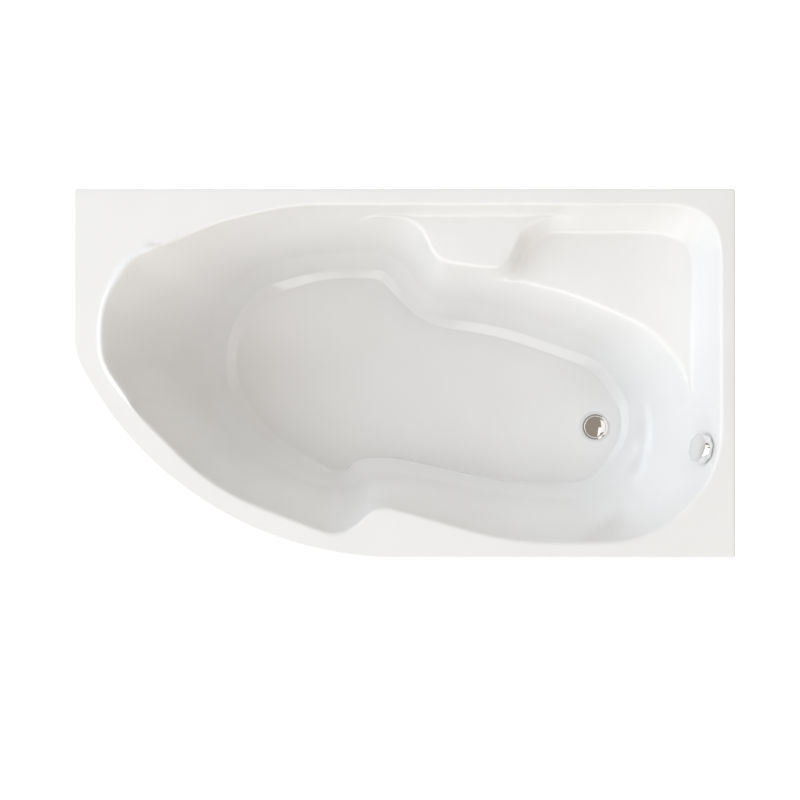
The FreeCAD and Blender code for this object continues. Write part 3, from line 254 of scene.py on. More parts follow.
def bathCreases():
    # each crease: its outline, its depth, and its depth where a guide line misses the outline
    spread = bathShell["ledgeSpread"]
    shelf = bathShell["shelfDepth"]
    seat = bathShell["seatDepth"]
    bowl = bathShell["bowlDepth"]
    return [
        (roundedOutline("opening"), 0, None),
        (roundedOutline("headrest", closed=False), bathShell["headrestDrop"], bathShell["lip"]),
        (roundedOutline("shelfFoot", closed=False), shelf, shelf - spread),
        (roundedOutline("shelfEdge", closed=False), shelf, shelf + spread),
        (roundedOutline("seatFoot", closed=False), seat, seat - spread),
        (roundedOutline("seatEdge", closed=False), seat, seat + spread),
        (roundedOutline("cove"), bowl - bathShell["coveRise"], None),
        (roundedOutline("step"), bowl - bathShell["stepRise"], None),
        (roundedOutline("floor"), bowl, None),
    ]


def wallProfile(creaseList, inner, outer):
    # the creases met along one guide line, and whether the headrest is among them
    top = bathShell["rimHeight"]
    least = bathShell["leastBandShare"]
    points = []
    for outline, depth, wallDepth in creaseList:
        point = crossing(outline, inner, outer)
        points.append(None if point is None else np.array((point[0], point[1], top - depth)))
    onHeadrest = points[creaseAt["headrest"]] is not None
    for k, (outline, depth, wallDepth) in enumerate(creaseList):
        if points[k] is not None:
            continue
        above = points[k - 1]
        below = next(point for point in points[k + 1:] if point is not None)
        share = (above[2] - top + wallDepth) / (above[2] - below[2]) if above[2] > below[2] else 1
        points[k] = above + (below - above) * min(max(share, least), 1 - least)
    for point in points[creaseAt["step"]:]:
        point[2] -= floorDrop(point[0])
    return np.array(points), onHeadrest


def smoothRound(values, passes):
    # evens out small steps from column to column, all the way round
    for k in range(passes):
        values = (np.roll(values, 1, axis=0) + 2 * values + np.roll(values, -1, axis=0)) / 4
    return values


def lipRows(points, down, roll, outward):
    # two strips of the deck, then the lip, or the headrest's roll where roll is 1
    lip = bathShell["lip"]
    strip = bathShell["strip"]
    steps = bathShell["lipSteps"]
    edge = points[:, creaseAt["opening"]]
    foot = points[:, creaseAt["headrest"]]
    reach = lip + (bathShell["headrestReach"] - lip) * roll
    start = edge + outward * reach
    plainEnd = edge + down * (lip / np.linalg.norm(down, axis=1))[:, None]
    wallDown = points[:, creaseAt["shelfFoot"]] - foot
    span = np.linalg.norm(foot - start, axis=1)
    lead = -outward * (bathShell["headrestLead"] * span)[:, None]
    tail = wallDown * (bathShell["headrestTail"] * span / np.linalg.norm(wallDown, axis=1))[:, None]
    rows = [edge + outward * (reach + 2 * strip), edge + outward * (reach + strip)]
    for k in range(steps + 1):
        u = k / steps
        plain = roundingPoint(start, edge, plainEnd, u)
        bulge = (start * (1 - u) ** 3 + (start + lead) * 3 * (1 - u) ** 2 * u
                 + (foot - tail) * 3 * (1 - u) * u ** 2 + foot * u ** 3)
        rows.append(plain * (1 - roll) + bulge * roll)
    return rows


def bandRows(corners):
    # rows from the lip's end down to the floor: bands with a rounding at each crease between them
    rows = []
    steps = bathShell["roundingRows"]
    above = corners[0]
    for k in range(1, len(corners) - 1):
        corner = corners[k]
        before = corners[k - 1] - corner
        after = corners[k + 1] - corner
        beforeLength = np.linalg.norm(before, axis=1)[:, None]
        afterLength = np.linalg.norm(after, axis=1)[:, None]
        most = bathShell["mostRoundingShare"] * np.minimum(beforeLength, afterLength)
        reach = np.minimum(bathShell["rounding"][k - 1], most)
        begin = corner + before / beforeLength * reach
        end = corner + after / afterLength * reach
        between = bathShell["longBandRows"] if k in bathShell["longBands"] else 1
        for step in range(1, between + 1):
            u = step / (between + 1)
            rows.append(above * (1 - u) + begin * u)
        for step in range(steps + 1):
            rows.append(roundingPoint(begin, corner, end, step / steps))
        above = end
    for share in bathShell["floorRowShares"]:
        rows.append(above * (1 - share) + corners[-1] * share)
    return rows


def bowlRows():
    # the visible skin of the bowl: one array of points per row, from the deck to the floor
    creaseList = bathCreases()
    evening = bathShell["evening"]
    lines = guideLines(creaseList[creaseAt["opening"]][0])
    profiles = [wallProfile(creaseList, inner, outer) for inner, outer in lines]
    points = np.array([profile[0] for profile in profiles])
    roll = np.array([1.0 if profile[1] else 0.0 for profile in profiles])
    roll = smoothRound(roll, evening["roll"])[:, None]
    outward = np.array([np.append((outer - inner) / np.linalg.norm(outer - inner), 0)
                        for inner, outer in lines])
    for k in range(points.shape[1]):
        onWall = k > creaseAt["headrest"]
        points[:, k] = smoothRound(points[:, k], evening["wall"] if onWall else evening["top"])
    down = points[:, creaseAt["shelfFoot"]] - points[:, creaseAt["opening"]]
    height = points[:, :, 2] - points[:, creaseAt["cove"], 2][:, None]
    foot = creaseAt["headrest"]
    for k in range(foot, creaseAt["cove"]):
        swell = bathShell["headrestSwell"] * roll * (height[:, k] / height[:, foot])[:, None]
        points[:, k] -= outward * swell
    rows = lipRows(points, down, roll, outward)
    floorEdge = points[:, creaseAt["floor"]]
    inwards = -outward * bathShell["floorReach"]
    inwards[:, 2] = -(floorDrop(floorEdge[:, 0] + inwards[:, 0]) - floorDrop(floorEdge[:, 0]))
    corners = [points[:, k] for k in range(creaseAt["shelfFoot"], points.shape[1])]
    return np.array(rows + bandRows([rows[-1], *corners, floorEdge + inwards]))


def rimSamples(height, inset):
    # the rim's outer outline, moved inwards, as points at one height
    shares = bathShell["outlines"]["rim"]
    corners = [planPoint(x, y) for x, y, rounding in shares]
    count = len(corners)
    points = []
    for i, corner in enumerate(corners):
        before = corners[i - 1] - corner
        after = corners[(i + 1) % count] - corner
        beforeUnit = before / np.linalg.norm(before)
        afterUnit = after / np.linalg.norm(after)
        half = math.acos(np.clip(beforeUnit @ afterUnit, -1, 1)) / 2
        reach = shares[i][2] * min(np.linalg.norm(before), np.linalg.norm(after))
        if reach == 0:
            reach = bathShell["cornerRadius"] / math.tan(half)
        radius = reach * math.tan(half)
        bisector = (beforeUnit + afterUnit) / np.linalg.norm(beforeUnit + afterUnit)
        centre = corner + bisector * radius / math.sin(half)
        first = corner + beforeUnit * reach - centre
        last = corner + afterUnit * reach - centre
        angle = math.atan2(first[1], first[0])
        turn = math.atan2(last[1], last[0]) - angle
        turn = (turn + math.pi) % (2 * math.pi) - math.pi
        steps = bathShell["cornerCuts"]["sharp" if radius < bathShell["broadCorner"] else "broad"]
        radius -= inset
        for k in range(steps + 1):
            a = angle + turn * k / steps
            points.append((centre[0] + radius * math.cos(a), centre[1] + radius * math.sin(a), height))
    return points


def ring(mesh, points):
    return [mesh.verts.new(Vector(point)) for point in points]


def bridge(mesh, rings, side):
    # faces between each ring and the next one
    for upper, lower in zip(rings, rings[1:]):
        for i in range(len(upper)):
            j = (i + 1) % len(upper)
            face = mesh.faces.new((upper[i], upper[j], lower[j], lower[i]))
            face.material_index = shellSides[side]


def fillBetween(mesh, outer, inner, side):
    edges = []
    for loop in (outer, inner):
        for i in range(len(loop)):
            a, b = loop[i], loop[(i + 1) % len(loop)]
            edges.append(mesh.edges.get((a, b)) or mesh.edges.new((a, b)))
    made = bmesh.ops.triangle_fill(mesh, use_beauty=True, edges=edges)
    for item in made["geom"]:
        if isinstance(item, bmesh.types.BMFace):
            item.material_index = shellSides[side]


def drainCircle(radius, height):
    x, y = bathShell["drain"]
    count = bathShell["drainSides"]
    turns = [2 * math.pi * k / count for k in range(count)]
    return [(x + radius * math.cos(turn), y + radius * math.sin(turn), height) for turn in turns]


def floorCircle(radius, drop=0.0):
    # a circle round the drain that follows the floor's fall
    level = bathShell["rimHeight"] - bathShell["bowlDepth"] - bathShell["floorFall"]
    level += floorDrop(bathShell["drain"][0])
    return [(x, y, level - floorDrop(x) - drop) for x, y, z in drainCircle(radius, 0)]


def hiddenSide(front):
    # the back of the skin, a wall's thickness behind the front and flat under the floor
    alongRow = np.roll(front, -1, axis=1) - np.roll(front, 1, axis=1)
    acrossRow = np.empty_like(front)
    acrossRow[1:-1] = front[2:] - front[:-2]
    acrossRow[0] = front[1] - front[0]
    acrossRow[-1] = front[-1] - front[-2]
    normal = np.cross(alongRow, acrossRow)
    normal /= np.linalg.norm(normal, axis=2)[:, :, None]
    if normal[0, :, 2].mean() > 0:
        normal = -normal
    back = front + normal * bathShell["wall"]
    back[-bathShell["flatRows"]:, :, 2] = bathShell["floorUnderside"]
    kept = bathShell["backLipRows"]
    return [row for k, row in enumerate(back) if k in kept or k > kept[-1]]


def rimRows():
    # from the hem of the skirt, over its rounded edge, to the deck
    top = bathShell["rimHeight"]
    edge = bathShell["edgeRadius"]
    steps = bathShell["edgeSteps"]
    rows = [rimSamples(top - bathShell["skirtHeight"], 0)]
    for k in range(steps + 1):
        a = math.radians(90) * k / steps
        rows.append(rimSamples(top - edge + edge * math.sin(a), edge - edge * math.cos(a)))
    rows.append(rimSamples(top, edge + bathShell["strip"]))
    return rows


def drainRows():
    # from the floor down into the drain's recess and through its hole
    strip = bathShell["strip"]
    recess = bathShell["drainRecess"]
    hole = bathShell["drainHole"]
    seat = bathShell["drainSeat"]
    rows = [floorCircle(recess + 2 * strip), floorCircle(recess + strip)]
    rows.append(floorCircle(recess, bathShell["drainEdge"]))
    rows += [drainCircle(recess - inset, seat + rise) for inset, rise in bathShell["drainFoot"]]
    return rows + [drainCircle(hole, seat), drainCircle(hole, bathShell["floorUnderside"])]


def buildShell():
    # the one-piece skin: the bowl's two sides, the skirt and the deck, then the floor and its recess
    wall = bathShell["wall"]
    top = bathShell["rimHeight"]
    front = bowlRows()
    mesh = bmesh.new()
    frontRings = [ring(mesh, row) for row in front]
    backRings = [ring(mesh, row) for row in hiddenSide(front)]
    bridge(mesh, frontRings, "gloss")
    bridge(mesh, backRings, "laminate")
    rimRings = [ring(mesh, row) for row in rimRows()]
    bridge(mesh, rimRings, "gloss")
    hem = ring(mesh, rimSamples(top - bathShell["skirtHeight"], wall))
    under = ring(mesh, rimSamples(top - wall, wall))
    bridge(mesh, [hem, rimRings[0]], "laminate")
    bridge(mesh, [hem, under], "laminate")
    fillBetween(mesh, rimRings[-1], frontRings[0], "gloss")
    fillBetween(mesh, under, backRings[0], "laminate")
    drainRings = [ring(mesh, row) for row in drainRows()]
    bridge(mesh, drainRings, "gloss")
    fillBetween(mesh, frontRings[-1], drainRings[0], "gloss")
    fillBetween(mesh, backRings[-1], drainRings[-1], "laminate")
    bmesh.ops.recalc_face_normals(mesh, faces=mesh.faces)
    openEdges = [edge for edge in mesh.edges if len(edge.link_faces) != 2]
    print("shell columns:", front.shape[1], "rows:", len(front), "open edges:", len(openEdges))
    data = bpy.data.meshes.new("BathShell")
    mesh.to_mesh(data)
    mesh.free()
    piece = bpy.data.objects.new("BathShell", data)
    scene.collection.objects.link(piece)
    smoothPiece(piece, bathShell["smoothAngle"])
    return piece


def newMaterial(name):
    material = bpy.data.materials.new(name)
    material.use_nodes = True
    tree = material.node_tree
    shader = next(node for node in tree.nodes if node.type == "BSDF_PRINCIPLED")
    return material, tree, shader


grainRange = {"From Min": 0.35, "From Max": 0.65}  # the part of the noise that the mask spreads out


def grainGroup():
    # the effect that all finishes share: noise as a mask between two looks and as a height
    group = bpy.data.node_groups.new("surfaceGrain", "ShaderNodeTree")
    group.interface.new_socket(name="Vector", in_out="INPUT", socket_type="NodeSocketVector")
    group.interface.new_socket(name="Scale", in_out="INPUT", socket_type="NodeSocketFloat")
    group.interface.new_socket(name="Detail", in_out="INPUT", socket_type="NodeSocketFloat")
    group.interface.new_socket(name="Mask", in_out="OUTPUT", socket_type="NodeSocketFloat")
    group.interface.new_socket(name="Height", in_out="OUTPUT", socket_type="NodeSocketFloat")
    start = group.nodes.new("NodeGroupInput")
    end = group.nodes.new("NodeGroupOutput")
    noise = group.nodes.new("ShaderNodeTexNoise")
    spread = group.nodes.new("ShaderNodeMapRange")
    links = group.links
    links.new(start.outputs["Vector"], noise.inputs["Vector"])
    links.new(start.outputs["Scale"], noise.inputs["Scale"])
    links.new(start.outputs["Detail"], noise.inputs["Detail"])
    links.new(noise.outputs["Fac"], spread.inputs["Value"])
    for name, value in grainRange.items():
        spread.inputs[name].default_value = value
    links.new(spread.outputs["Result"], end.inputs["Mask"])
    links.new(noise.outputs["Fac"], end.inputs["Height"])
    return group


grain = grainGroup()


def addGrain(tree, scale, detail, stretch=(1, 1, 1)):
    place = tree.nodes.new("ShaderNodeTexCoord")
    mapping = tree.nodes.new("ShaderNodeMapping")
    mapping.inputs["Scale"].default_value = stretch
    node = tree.nodes.new("ShaderNodeGroup")
    node.node_tree = grain
    node.inputs["Scale"].default_value = scale
    node.inputs["Detail"].default_value = detail
    tree.links.new(place.outputs["Object"], mapping.inputs["Vector"])
    tree.links.new(mapping.outputs["Vector"], node.inputs["Vector"])
    return node


def mixColours(tree, mask, first, second):
    mix = tree.nodes.new("ShaderNodeMix")
    mix.data_type = "RGBA"
    mix.inputs["A"].default_value = (*first, 1)
    mix.inputs["B"].default_value = (*second, 1)
    tree.links.new(mask, mix.inputs["Factor"])
    return mix.outputs["Result"]


def spreadValue(tree, mask, low, high):
    spread = tree.nodes.new("ShaderNodeMapRange")
    spread.inputs["To Min"].default_value = low
    spread.inputs["To Max"].default_value = high
    tree.links.new(mask, spread.inputs["Value"])
    return spread.outputs["Result"]


def addBump(tree, shader, height, strength, distance):
    bump = tree.nodes.new("ShaderNodeBump")
    bump.inputs["Strength"].default_value = strength
    bump.inputs["Distance"].default_value = distance
    tree.links.new(height, bump.inputs["Height"])
    tree.links.new(bump.outputs["Normal"], shader.inputs["Normal"])


# each finish: two colours and two roughnesses that the grain mixes, and the bump's strength and depth
finishLooks = {
    "glossAcrylic": {"first": (0.80, 0.80, 0.795), "second": (0.815, 0.815, 0.81), "rough": (0.09, 0.15),
                     "metal": 0, "scale": 5, "detail": 2, "bump": (0.02, 0.0004), "ior": 1.49},
    "laminateBack": {"first": (0.62, 0.60, 0.52), "second": (0.74, 0.72, 0.64), "rough": (0.45, 0.75),
                     "metal": 0, "scale": 90, "detail": 6, "bump": (0.7, 0.003), "stretch": (1, 3, 1)},
    "powderSteel": {"first": (0.60, 0.61, 0.63), "second": (0.66, 0.67, 0.69), "rough": (0.38, 0.52),
                    "metal": 0, "scale": 900, "detail": 2, "bump": (0.25, 0.0005)},
    "zincSteel": {"first": (0.58, 0.58, 0.55), "second": (0.72, 0.72, 0.70), "rough": (0.22, 0.42),
                  "metal": 1, "scale": 160, "detail": 5, "bump": (0.1, 0.0004)},
    "blackPlastic": {"first": (0.018, 0.018, 0.018), "second": (0.03, 0.03, 0.03), "rough": (0.42, 0.58),
                     "metal": 0, "scale": 700, "detail": 3, "bump": (0.2, 0.0004)},
    "whitePlastic": {"first": (0.72, 0.72, 0.70), "second": (0.77, 0.77, 0.75), "rough": (0.28, 0.40),
                     "metal": 0, "scale": 260, "detail": 3, "bump": (0.08, 0.0004)},
    "greyPlastic": {"first": (0.52, 0.53, 0.53), "second": (0.58, 0.59, 0.59), "rough": (0.30, 0.42),
                    "metal": 0, "scale": 260, "detail": 3, "bump": (0.08, 0.0004)},
    "cableSheath": {"first": (0.05, 0.05, 0.055), "second": (0.08, 0.08, 0.085), "rough": (0.35, 0.5),
                    "metal": 0, "scale": 400, "detail": 3, "bump": (0.15, 0.0004)},
    "sealRubber": {"first": (0.016, 0.016, 0.016), "second": (0.032, 0.031, 0.03), "rough": (0.6, 0.8),
                   "metal": 0, "scale": 600, "detail": 4, "bump": (0.2, 0.0004)},
    "polishedChrome": {"first": (0.92, 0.92, 0.92), "second": (0.95, 0.95, 0.95), "rough": (0.03, 0.07),
                       "metal": 1, "scale": 60, "detail": 4, "bump": (0.01, 0.0003)},
}


def makeFinish(name):
    look = finishLooks[name]
    material, tree, shader = newMaterial(name)
    texture = addGrain(tree, look["scale"], look["detail"], look.get("stretch", (1, 1, 1)))
    colour = mixColours(tree, texture.outputs["Mask"], look["first"], look["second"])
    tree.links.new(colour, shader.inputs["Base Color"])
    tree.links.new(spreadValue(tree, texture.outputs["Mask"], *look["rough"]), shader.inputs["Roughness"])
    shader.inputs["Metallic"].default_value = look["metal"]
    if "ior" in look:
        shader.inputs["IOR"].default_value = look["ior"]
    addBump(tree, shader, texture.outputs["Height"], *look["bump"])
    return material


finishes = {name: makeFinish(name) for name in finishLooks}

chipLook = {"scale": 190, "first": (0.42, 0.28, 0.15), "second": (0.72, 0.55, 0.34),
            "rough": (0.62, 0.85), "bump": (0.25, 0.0008)}


def chipboard():
    # each chip has its own colour, roughness and height
    material, tree, shader = newMaterial("chipBoard")
    place = tree.nodes.new("ShaderNodeTexCoord")
    chips = tree.nodes.new("ShaderNodeTexVoronoi")
    chips.inputs["Scale"].default_value = chipLook["scale"]
    tree.links.new(place.outputs["Object"], chips.inputs["Vector"])
    ramp = tree.nodes.new("ShaderNodeValToRGB")
    ramp.color_ramp.elements[0].color = (*chipLook["first"], 1)
    ramp.color_ramp.elements[1].color = (*chipLook["second"], 1)
    split = tree.nodes.new("ShaderNodeSeparateColor")
    tree.links.new(chips.outputs["Color"], split.inputs["Color"])
    tree.links.new(split.outputs["Red"], ramp.inputs["Fac"])
    tree.links.new(ramp.outputs["Color"], shader.inputs["Base Color"])
    tree.links.new(spreadValue(tree, split.outputs["Green"], *chipLook["rough"]), shader.inputs["Roughness"])
    addBump(tree, shader, split.outputs["Blue"], *chipLook["bump"])
    return material


finishes["chipBoard"] = chipboard()

slotFinishes = {
    "board": "chipBoard", "frame_steel": "powderSteel", "zinc_steel": "zincSteel",
    "foot_plastic": "blackPlastic", "chrome": "polishedChrome", "rubber": "sealRubber",
    "waste_plastic": "whitePlastic", "pipe_plastic": "greyPlastic", "cable_plastic": "cableSheath",
    "acrylic": "glossAcrylic"}
nodeSlots = {part["node"]: part["material_slot"] for part in frame["record"]["subparts"]}
for nodeName, node in frame["nodes"].items():
    for place in node.material_slots:
        place.material = finishes[slotFinishes[nodeSlots[nodeName]]]
print("finishes set:", len(finishes))
nodeBodies = {name: body for body, names in frame["record"]["behaviour"]["bodies"].items() for name in names}
shell = buildShell()
shell.data.materials.append(finishes["glossAcrylic"])
shell.data.materials.append(finishes["laminateBack"])
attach(shell, "bath")
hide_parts("bath_shell")
print("shell made:", len(shell.data.polygons), "faces")


def dress(piece, nodeName):
    # the piece takes the body, the slot and the finish of the node that it stands for
    slot = nodeSlots[nodeName]
    piece.data.materials.clear()
    piece.data.materials.append(finishes[slotFinishes[slot]])
    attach(piece, nodeBodies[nodeName])
    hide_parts(nodeName)


def addCylinder(name, radius, low, high, segments, centre=(0, 0)):
    bpy.ops.object.select_all(action="DESELECT")
    bpy.ops.mesh.primitive_cylinder_add(vertices=segments, radius=radius, depth=high - low,
                                        location=(centre[0], centre[1], (low + high) / 2))
    piece = bpy.context.object
    piece.name = name
    bpy.ops.object.transform_apply(location=True, rotation=True, scale=True)
    return piece


samePoint = 0.000001  # points of a turned piece this near to each other are one


def turnPiece(name, rings, segments, hollow=False):
    # a turned piece: a circle is extruded from each (radius, height) to the next one
    radius, height = rings[0]
    fill = "NOTHING" if hollow else "NGON"
    bpy.ops.object.select_all(action="DESELECT")
    bpy.ops.mesh.primitive_circle_add(vertices=segments, radius=radius, fill_type=fill,
                                      location=(0, 0, height))
    piece = bpy.context.object
    piece.name = name
    bpy.ops.object.transform_apply(location=True, rotation=True, scale=True)
    editPiece(piece, "VERT")
    bpy.ops.mesh.select_all(action="SELECT")
    extrude = bpy.ops.mesh.extrude_edges_move if hollow else bpy.ops.mesh.extrude_region_move
    for nextRadius, nextHeight in rings[1:] + (rings[:1] if hollow else []):
        extrude(TRANSFORM_OT_translate={"value": (0, 0, nextHeight - height)})
        share = nextRadius / radius
        bpy.ops.transform.resize(value=(share, share, 1), center_override=(0, 0, 0))
        radius, height = nextRadius, nextHeight
    bpy.ops.mesh.select_all(action="SELECT")
    bpy.ops.mesh.remove_doubles(threshold=samePoint)
    bpy.ops.mesh.normals_make_consistent(inside=False)
    bpy.ops.object.mode_set(mode="OBJECT")
    return piece


def roundEdges(piece, width, segments, angle):
    # edges that turn by more than the angle are rounded
    bevel = piece.modifiers.new("edgeRounding", "BEVEL")
    bevel.width = width
    bevel.segments = segments
    bevel.limit_method = "ANGLE"
    bevel.angle_limit = math.radians(angle)
    applyModifiers(piece)


def cutWith(piece, cutter):
    cut = piece.modifiers.new("cut", "BOOLEAN")
    cut.operation = "DIFFERENCE"
    cut.solver = "EXACT"
    cut.object = cutter
    applyModifiers(piece)
    bpy.data.objects.remove(cutter)


def seatFrame(origin, alongX, alongZ):
    # where a fitting sits: its origin, its X and its Z
    x = Vector(alongX).normalized()
    z = Vector(alongZ).normalized()
    matrix = Matrix((x, z.cross(x), z)).transposed().to_4x4()
    matrix.translation = Vector(origin)
    return matrix


# the overflow's seat has its X down the wall and its Z into the bowl
wallSeat = seatFrame((0.785102, -0.197752, 0.544922), (-0.386027, 0.083859, -0.918668),
                     (-0.897729, 0.195020, 0.395030))
drainSeat = seatFrame((*bathShell["drain"], 0), (0.977208, -0.212286, 0), (0, 0, 1))
sideways = Matrix.Rotation(math.radians(90), 4, "Y")  # lays a turned piece along X

overflowHole = {
    "radius": 0.022,
    "plateSeat": (0.031, 0.004475),  # its radius and its level
    "gasketSeat": 0.034,
    "reach": 0.024,  # how far the cutter stands into the bowl, twice as far as behind the wall
    "sides": 96,
}


def cutOverflowHole():
    plateRadius, plateLevel = overflowHole["plateSeat"]
    gasket = overflowHole["gasketSeat"]
    radius = overflowHole["radius"]
    reach = overflowHole["reach"]
    rings = [(gasket, -reach / 2), (gasket, 0), (radius, 0), (radius, plateLevel),
             (plateRadius, plateLevel), (plateRadius, reach)]
    cutter = turnPiece("HoleCutter", rings, overflowHole["sides"])
    cutter.data.transform(wallSeat)
    cutWith(shell, cutter)
    smoothPiece(shell, bathShell["smoothAngle"])


cutOverflowHole()
print("overflow hole cut:", len(shell.data.polygons), "faces")

overflowKnob = {
    "radius": 0.038,
    "base": 0.0078,  # where its skirt starts, above the overflow's seat
    "height": 0.023675,
    "face": 0.003,  # thickness of its front
    "hollowRadius": 0.031,
    "scallops": 8,
    "scallopRadius": 0.080,
    "scallopDepth": 0.0024,
    "edge": 0.0011,
    "edgeSegments": 3,
    "edgeAngle": 50,
    "sides": {"knob": 160, "scallop": 240, "hollow": 96},
    "overrun": 0.01,  # how far the cutters stand out of the knob
}


def makeKnob():
    look = overflowKnob
    sides = look["sides"]
    top = look["base"] + look["height"]
    low = look["base"] - look["overrun"]
    high = top + look["overrun"]
    knob = addCylinder("OverflowKnob", look["radius"], look["base"], top, sides["knob"])
    away = look["radius"] + look["scallopRadius"] - look["scallopDepth"]
    for k in range(look["scallops"]):
        turn = 2 * math.pi * k / look["scallops"]
        centre = (away * math.cos(turn), away * math.sin(turn))
        cutter = addCylinder("ScallopCutter", look["scallopRadius"], low, high, sides["scallop"], centre)
        cutWith(knob, cutter)
    cutWith(knob, addCylinder("HollowCutter", look["hollowRadius"], low, top - look["face"], sides["hollow"]))
    roundEdges(knob, look["edge"], look["edgeSegments"], look["edgeAngle"])
    knob.data.transform(wallSeat)
    smoothPiece(knob)
    return knob


dress(makeKnob(), "overflow_knob")

# the cap's profile as (radius, height), from the stem's foot to the top of the dome
drainCap = {
    "profile": [(0.004, 0.142), (0.004, 0.168), (0.0308, 0.168), (0.031, 0.1682), (0.031, 0.1688),
                (0.0307, 0.1694), (0.0302, 0.1699), (0.0295, 0.1703), (0.0286, 0.1706), (0.0272, 0.17095),
                (0.0240, 0.17155), (0.0200, 0.17205), (0.0155, 0.17247), (0.0105, 0.1728), (0.0050, 0.17297),
                (0.0010, 0.1730)],
    "segments": 128,
    "smoothAngle": 40,
}


def makeDrainCap():
    cap = turnPiece("DrainCap", drainCap["profile"], drainCap["segments"])
    cap.data.transform(drainSeat)
    smoothPiece(cap, drainCap["smoothAngle"])
    return cap


dress(makeDrainCap(), "drain_plug")

drainRing = {
    "profile": [(0.019, 0.137), (0.022, 0.137), (0.022, 0.163), (0.035, 0.163), (0.035, 0.1656),
                (0.0349, 0.1659), (0.0346, 0.1660), (0.0195, 0.1660), (0.019, 0.1655)],
    "segments": 128,
    "smoothAngle": 40,
}


def makeDrainRing():
    flange = turnPiece("DrainRing", drainRing["profile"], drainRing["segments"], hollow=True)
    flange.data.transform(drainSeat)
    smoothPiece(flange, drainRing["smoothAngle"])
    return flange


dress(makeDrainRing(), "drain_flange")
print("knob, cap and ring made")

# union nuts: node, seat, bore, outer radius, start, length, level of a lying nut's axis
unionNuts = {
    "PipeNutTop": ("pipe_nut_top", wallSeat, 0.0182, 0.0202, 0.039, 0.022, -0.0251),
    "PipeNutBottom": ("pipe_nut_bottom", drainSeat, 0.0182, 0.0202, 0.0371, 0.022, 0.126),
    "TrapNut": ("trap_nut", drainSeat, 0.0262, 0.0312, 0.088, 0.018, None),
    "OutletNut": ("trap_outlet_nut", drainSeat, 0.0241, 0.0291, 0.038, 0.020, 0.047),
}
nutRibs = {
    "count": 24,
    "facesPerRib": 4,  # half of them on the rib, half beside it
    "height": 0.0008,
    "margin": 0.0022,  # smooth band at each end of the nut
    "edge": 0.0004,
    "edgeSegments": 2,
    "edgeAngle": 50,
    "slack": 0.01,  # allowed when faces are picked by their middles
}


def makeUnionNut(name, seat, bore, outer, start, length, level):
    # every other pair of outer faces stands up as a rib
    end = start + length
    margin = nutRibs["margin"]
    slack = nutRibs["slack"]
    period = nutRibs["facesPerRib"]
    segments = nutRibs["count"] * period
    body = outer - nutRibs["height"]
    nut = turnPiece(name, [(bore, start), (body, start), (body, start + margin), (body, end - margin),
                           (body, end), (bore, end)], segments, hollow=True)
    for face in nut.data.polygons:
        x, y, z = face.center
        step = math.floor(math.atan2(y, x) / (2 * math.pi) * segments + slack)
        outside = math.hypot(x, y) > body * (1 - slack) and start + margin < z < end - margin
        face.select = outside and step % period < period // 2
    editPiece(nut, "FACE")
    bpy.ops.mesh.extrude_region_move(TRANSFORM_OT_translate={"value": (0, 0, 0)})
    share = outer / body
    bpy.ops.transform.resize(value=(share, share, 1), center_override=(0, 0, 0))
    bpy.ops.object.mode_set(mode="OBJECT")
    roundEdges(nut, nutRibs["edge"], nutRibs["edgeSegments"], nutRibs["edgeAngle"])
    if level is not None:
        nut.data.transform(Matrix.Translation((0, 0, level)) @ sideways)
    nut.data.transform(seat)
    smoothPiece(nut)
    return nut


for name, (nodeName, *sizes) in unionNuts.items():
    dress(makeUnionNut(name, *sizes), nodeName)
print("union nuts made:", len(unionNuts))

footStud = {
    "radius": 0.006,
    "pitch": 0.00175,
    "depth": 0.0009,
    "crestShares": (0.42, 0.58),  # where the thread's crest starts and ends, in shares of the pitch
    "low": 0.005,
    "turns": 77,
    "sides": 32,
    "merge": 0.00001,
    "flatNormal": 0.9,  # faces that look up or down more than this are a turn's two ends
    "smoothAngle": 50,
}


def makeStud():
    # one turn of the thread, repeated up the stud
    pitch = footStud["pitch"]
    crest = footStud["radius"]
    root = crest - footStud["depth"]
    rings = [(root, 0), *((crest, pitch * share) for share in footStud["crestShares"]), (root, pitch)]
    stud = turnPiece("FootStud", rings, footStud["sides"])
    for face in stud.data.polygons:
        face.select = abs(face.normal[2]) > footStud["flatNormal"]
    editPiece(stud, "FACE")
    bpy.ops.mesh.delete(type="ONLY_FACE")
    bpy.ops.object.mode_set(mode="OBJECT")
    row = stud.modifiers.new("thread", "ARRAY")
    row.count = footStud["turns"]
    row.use_relative_offset = False
    row.use_constant_offset = True
    row.constant_offset_displace = (0, 0, pitch)
    row.use_merge_vertices = True
    row.merge_threshold = footStud["merge"]
    applyModifiers(stud)
    editPiece(stud, "EDGE")
    bpy.ops.mesh.select_all(action="DESELECT")
    bpy.ops.mesh.select_non_manifold()
    bpy.ops.mesh.fill_holes(sides=0)
    bpy.ops.mesh.select_all(action="SELECT")
    bpy.ops.mesh.normals_make_consistent(inside=False)
    bpy.ops.object.mode_set(mode="OBJECT")
    stud.data.transform(Matrix.Translation((0, 0, footStud["low"])))
    smoothPiece(stud, footStud["smoothAngle"])
    return stud


def copyPiece(piece, name, move=(0, 0, 0)):
    twin = piece.copy()
    twin.data = piece.data.copy()
    twin.name = name
    twin.data.transform(Matrix.Translation(move))
    scene.collection.objects.link(twin)
    return twin


firstStud = makeStud()
studNodes = [name for name in sorted(frame["nodes"]) if name.startswith("foot_stud_")]
for nodeName in studNodes:
    low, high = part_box(nodeName)
    middle = (low + high) / 2
    name = "FootStud_" + nodeName.removeprefix("foot_stud_")
    dress(copyPiece(firstStud, name, (middle[0], middle[1], 0)), nodeName)
bpy.data.objects.remove(firstStud)
print("studs made:", len(studNodes))

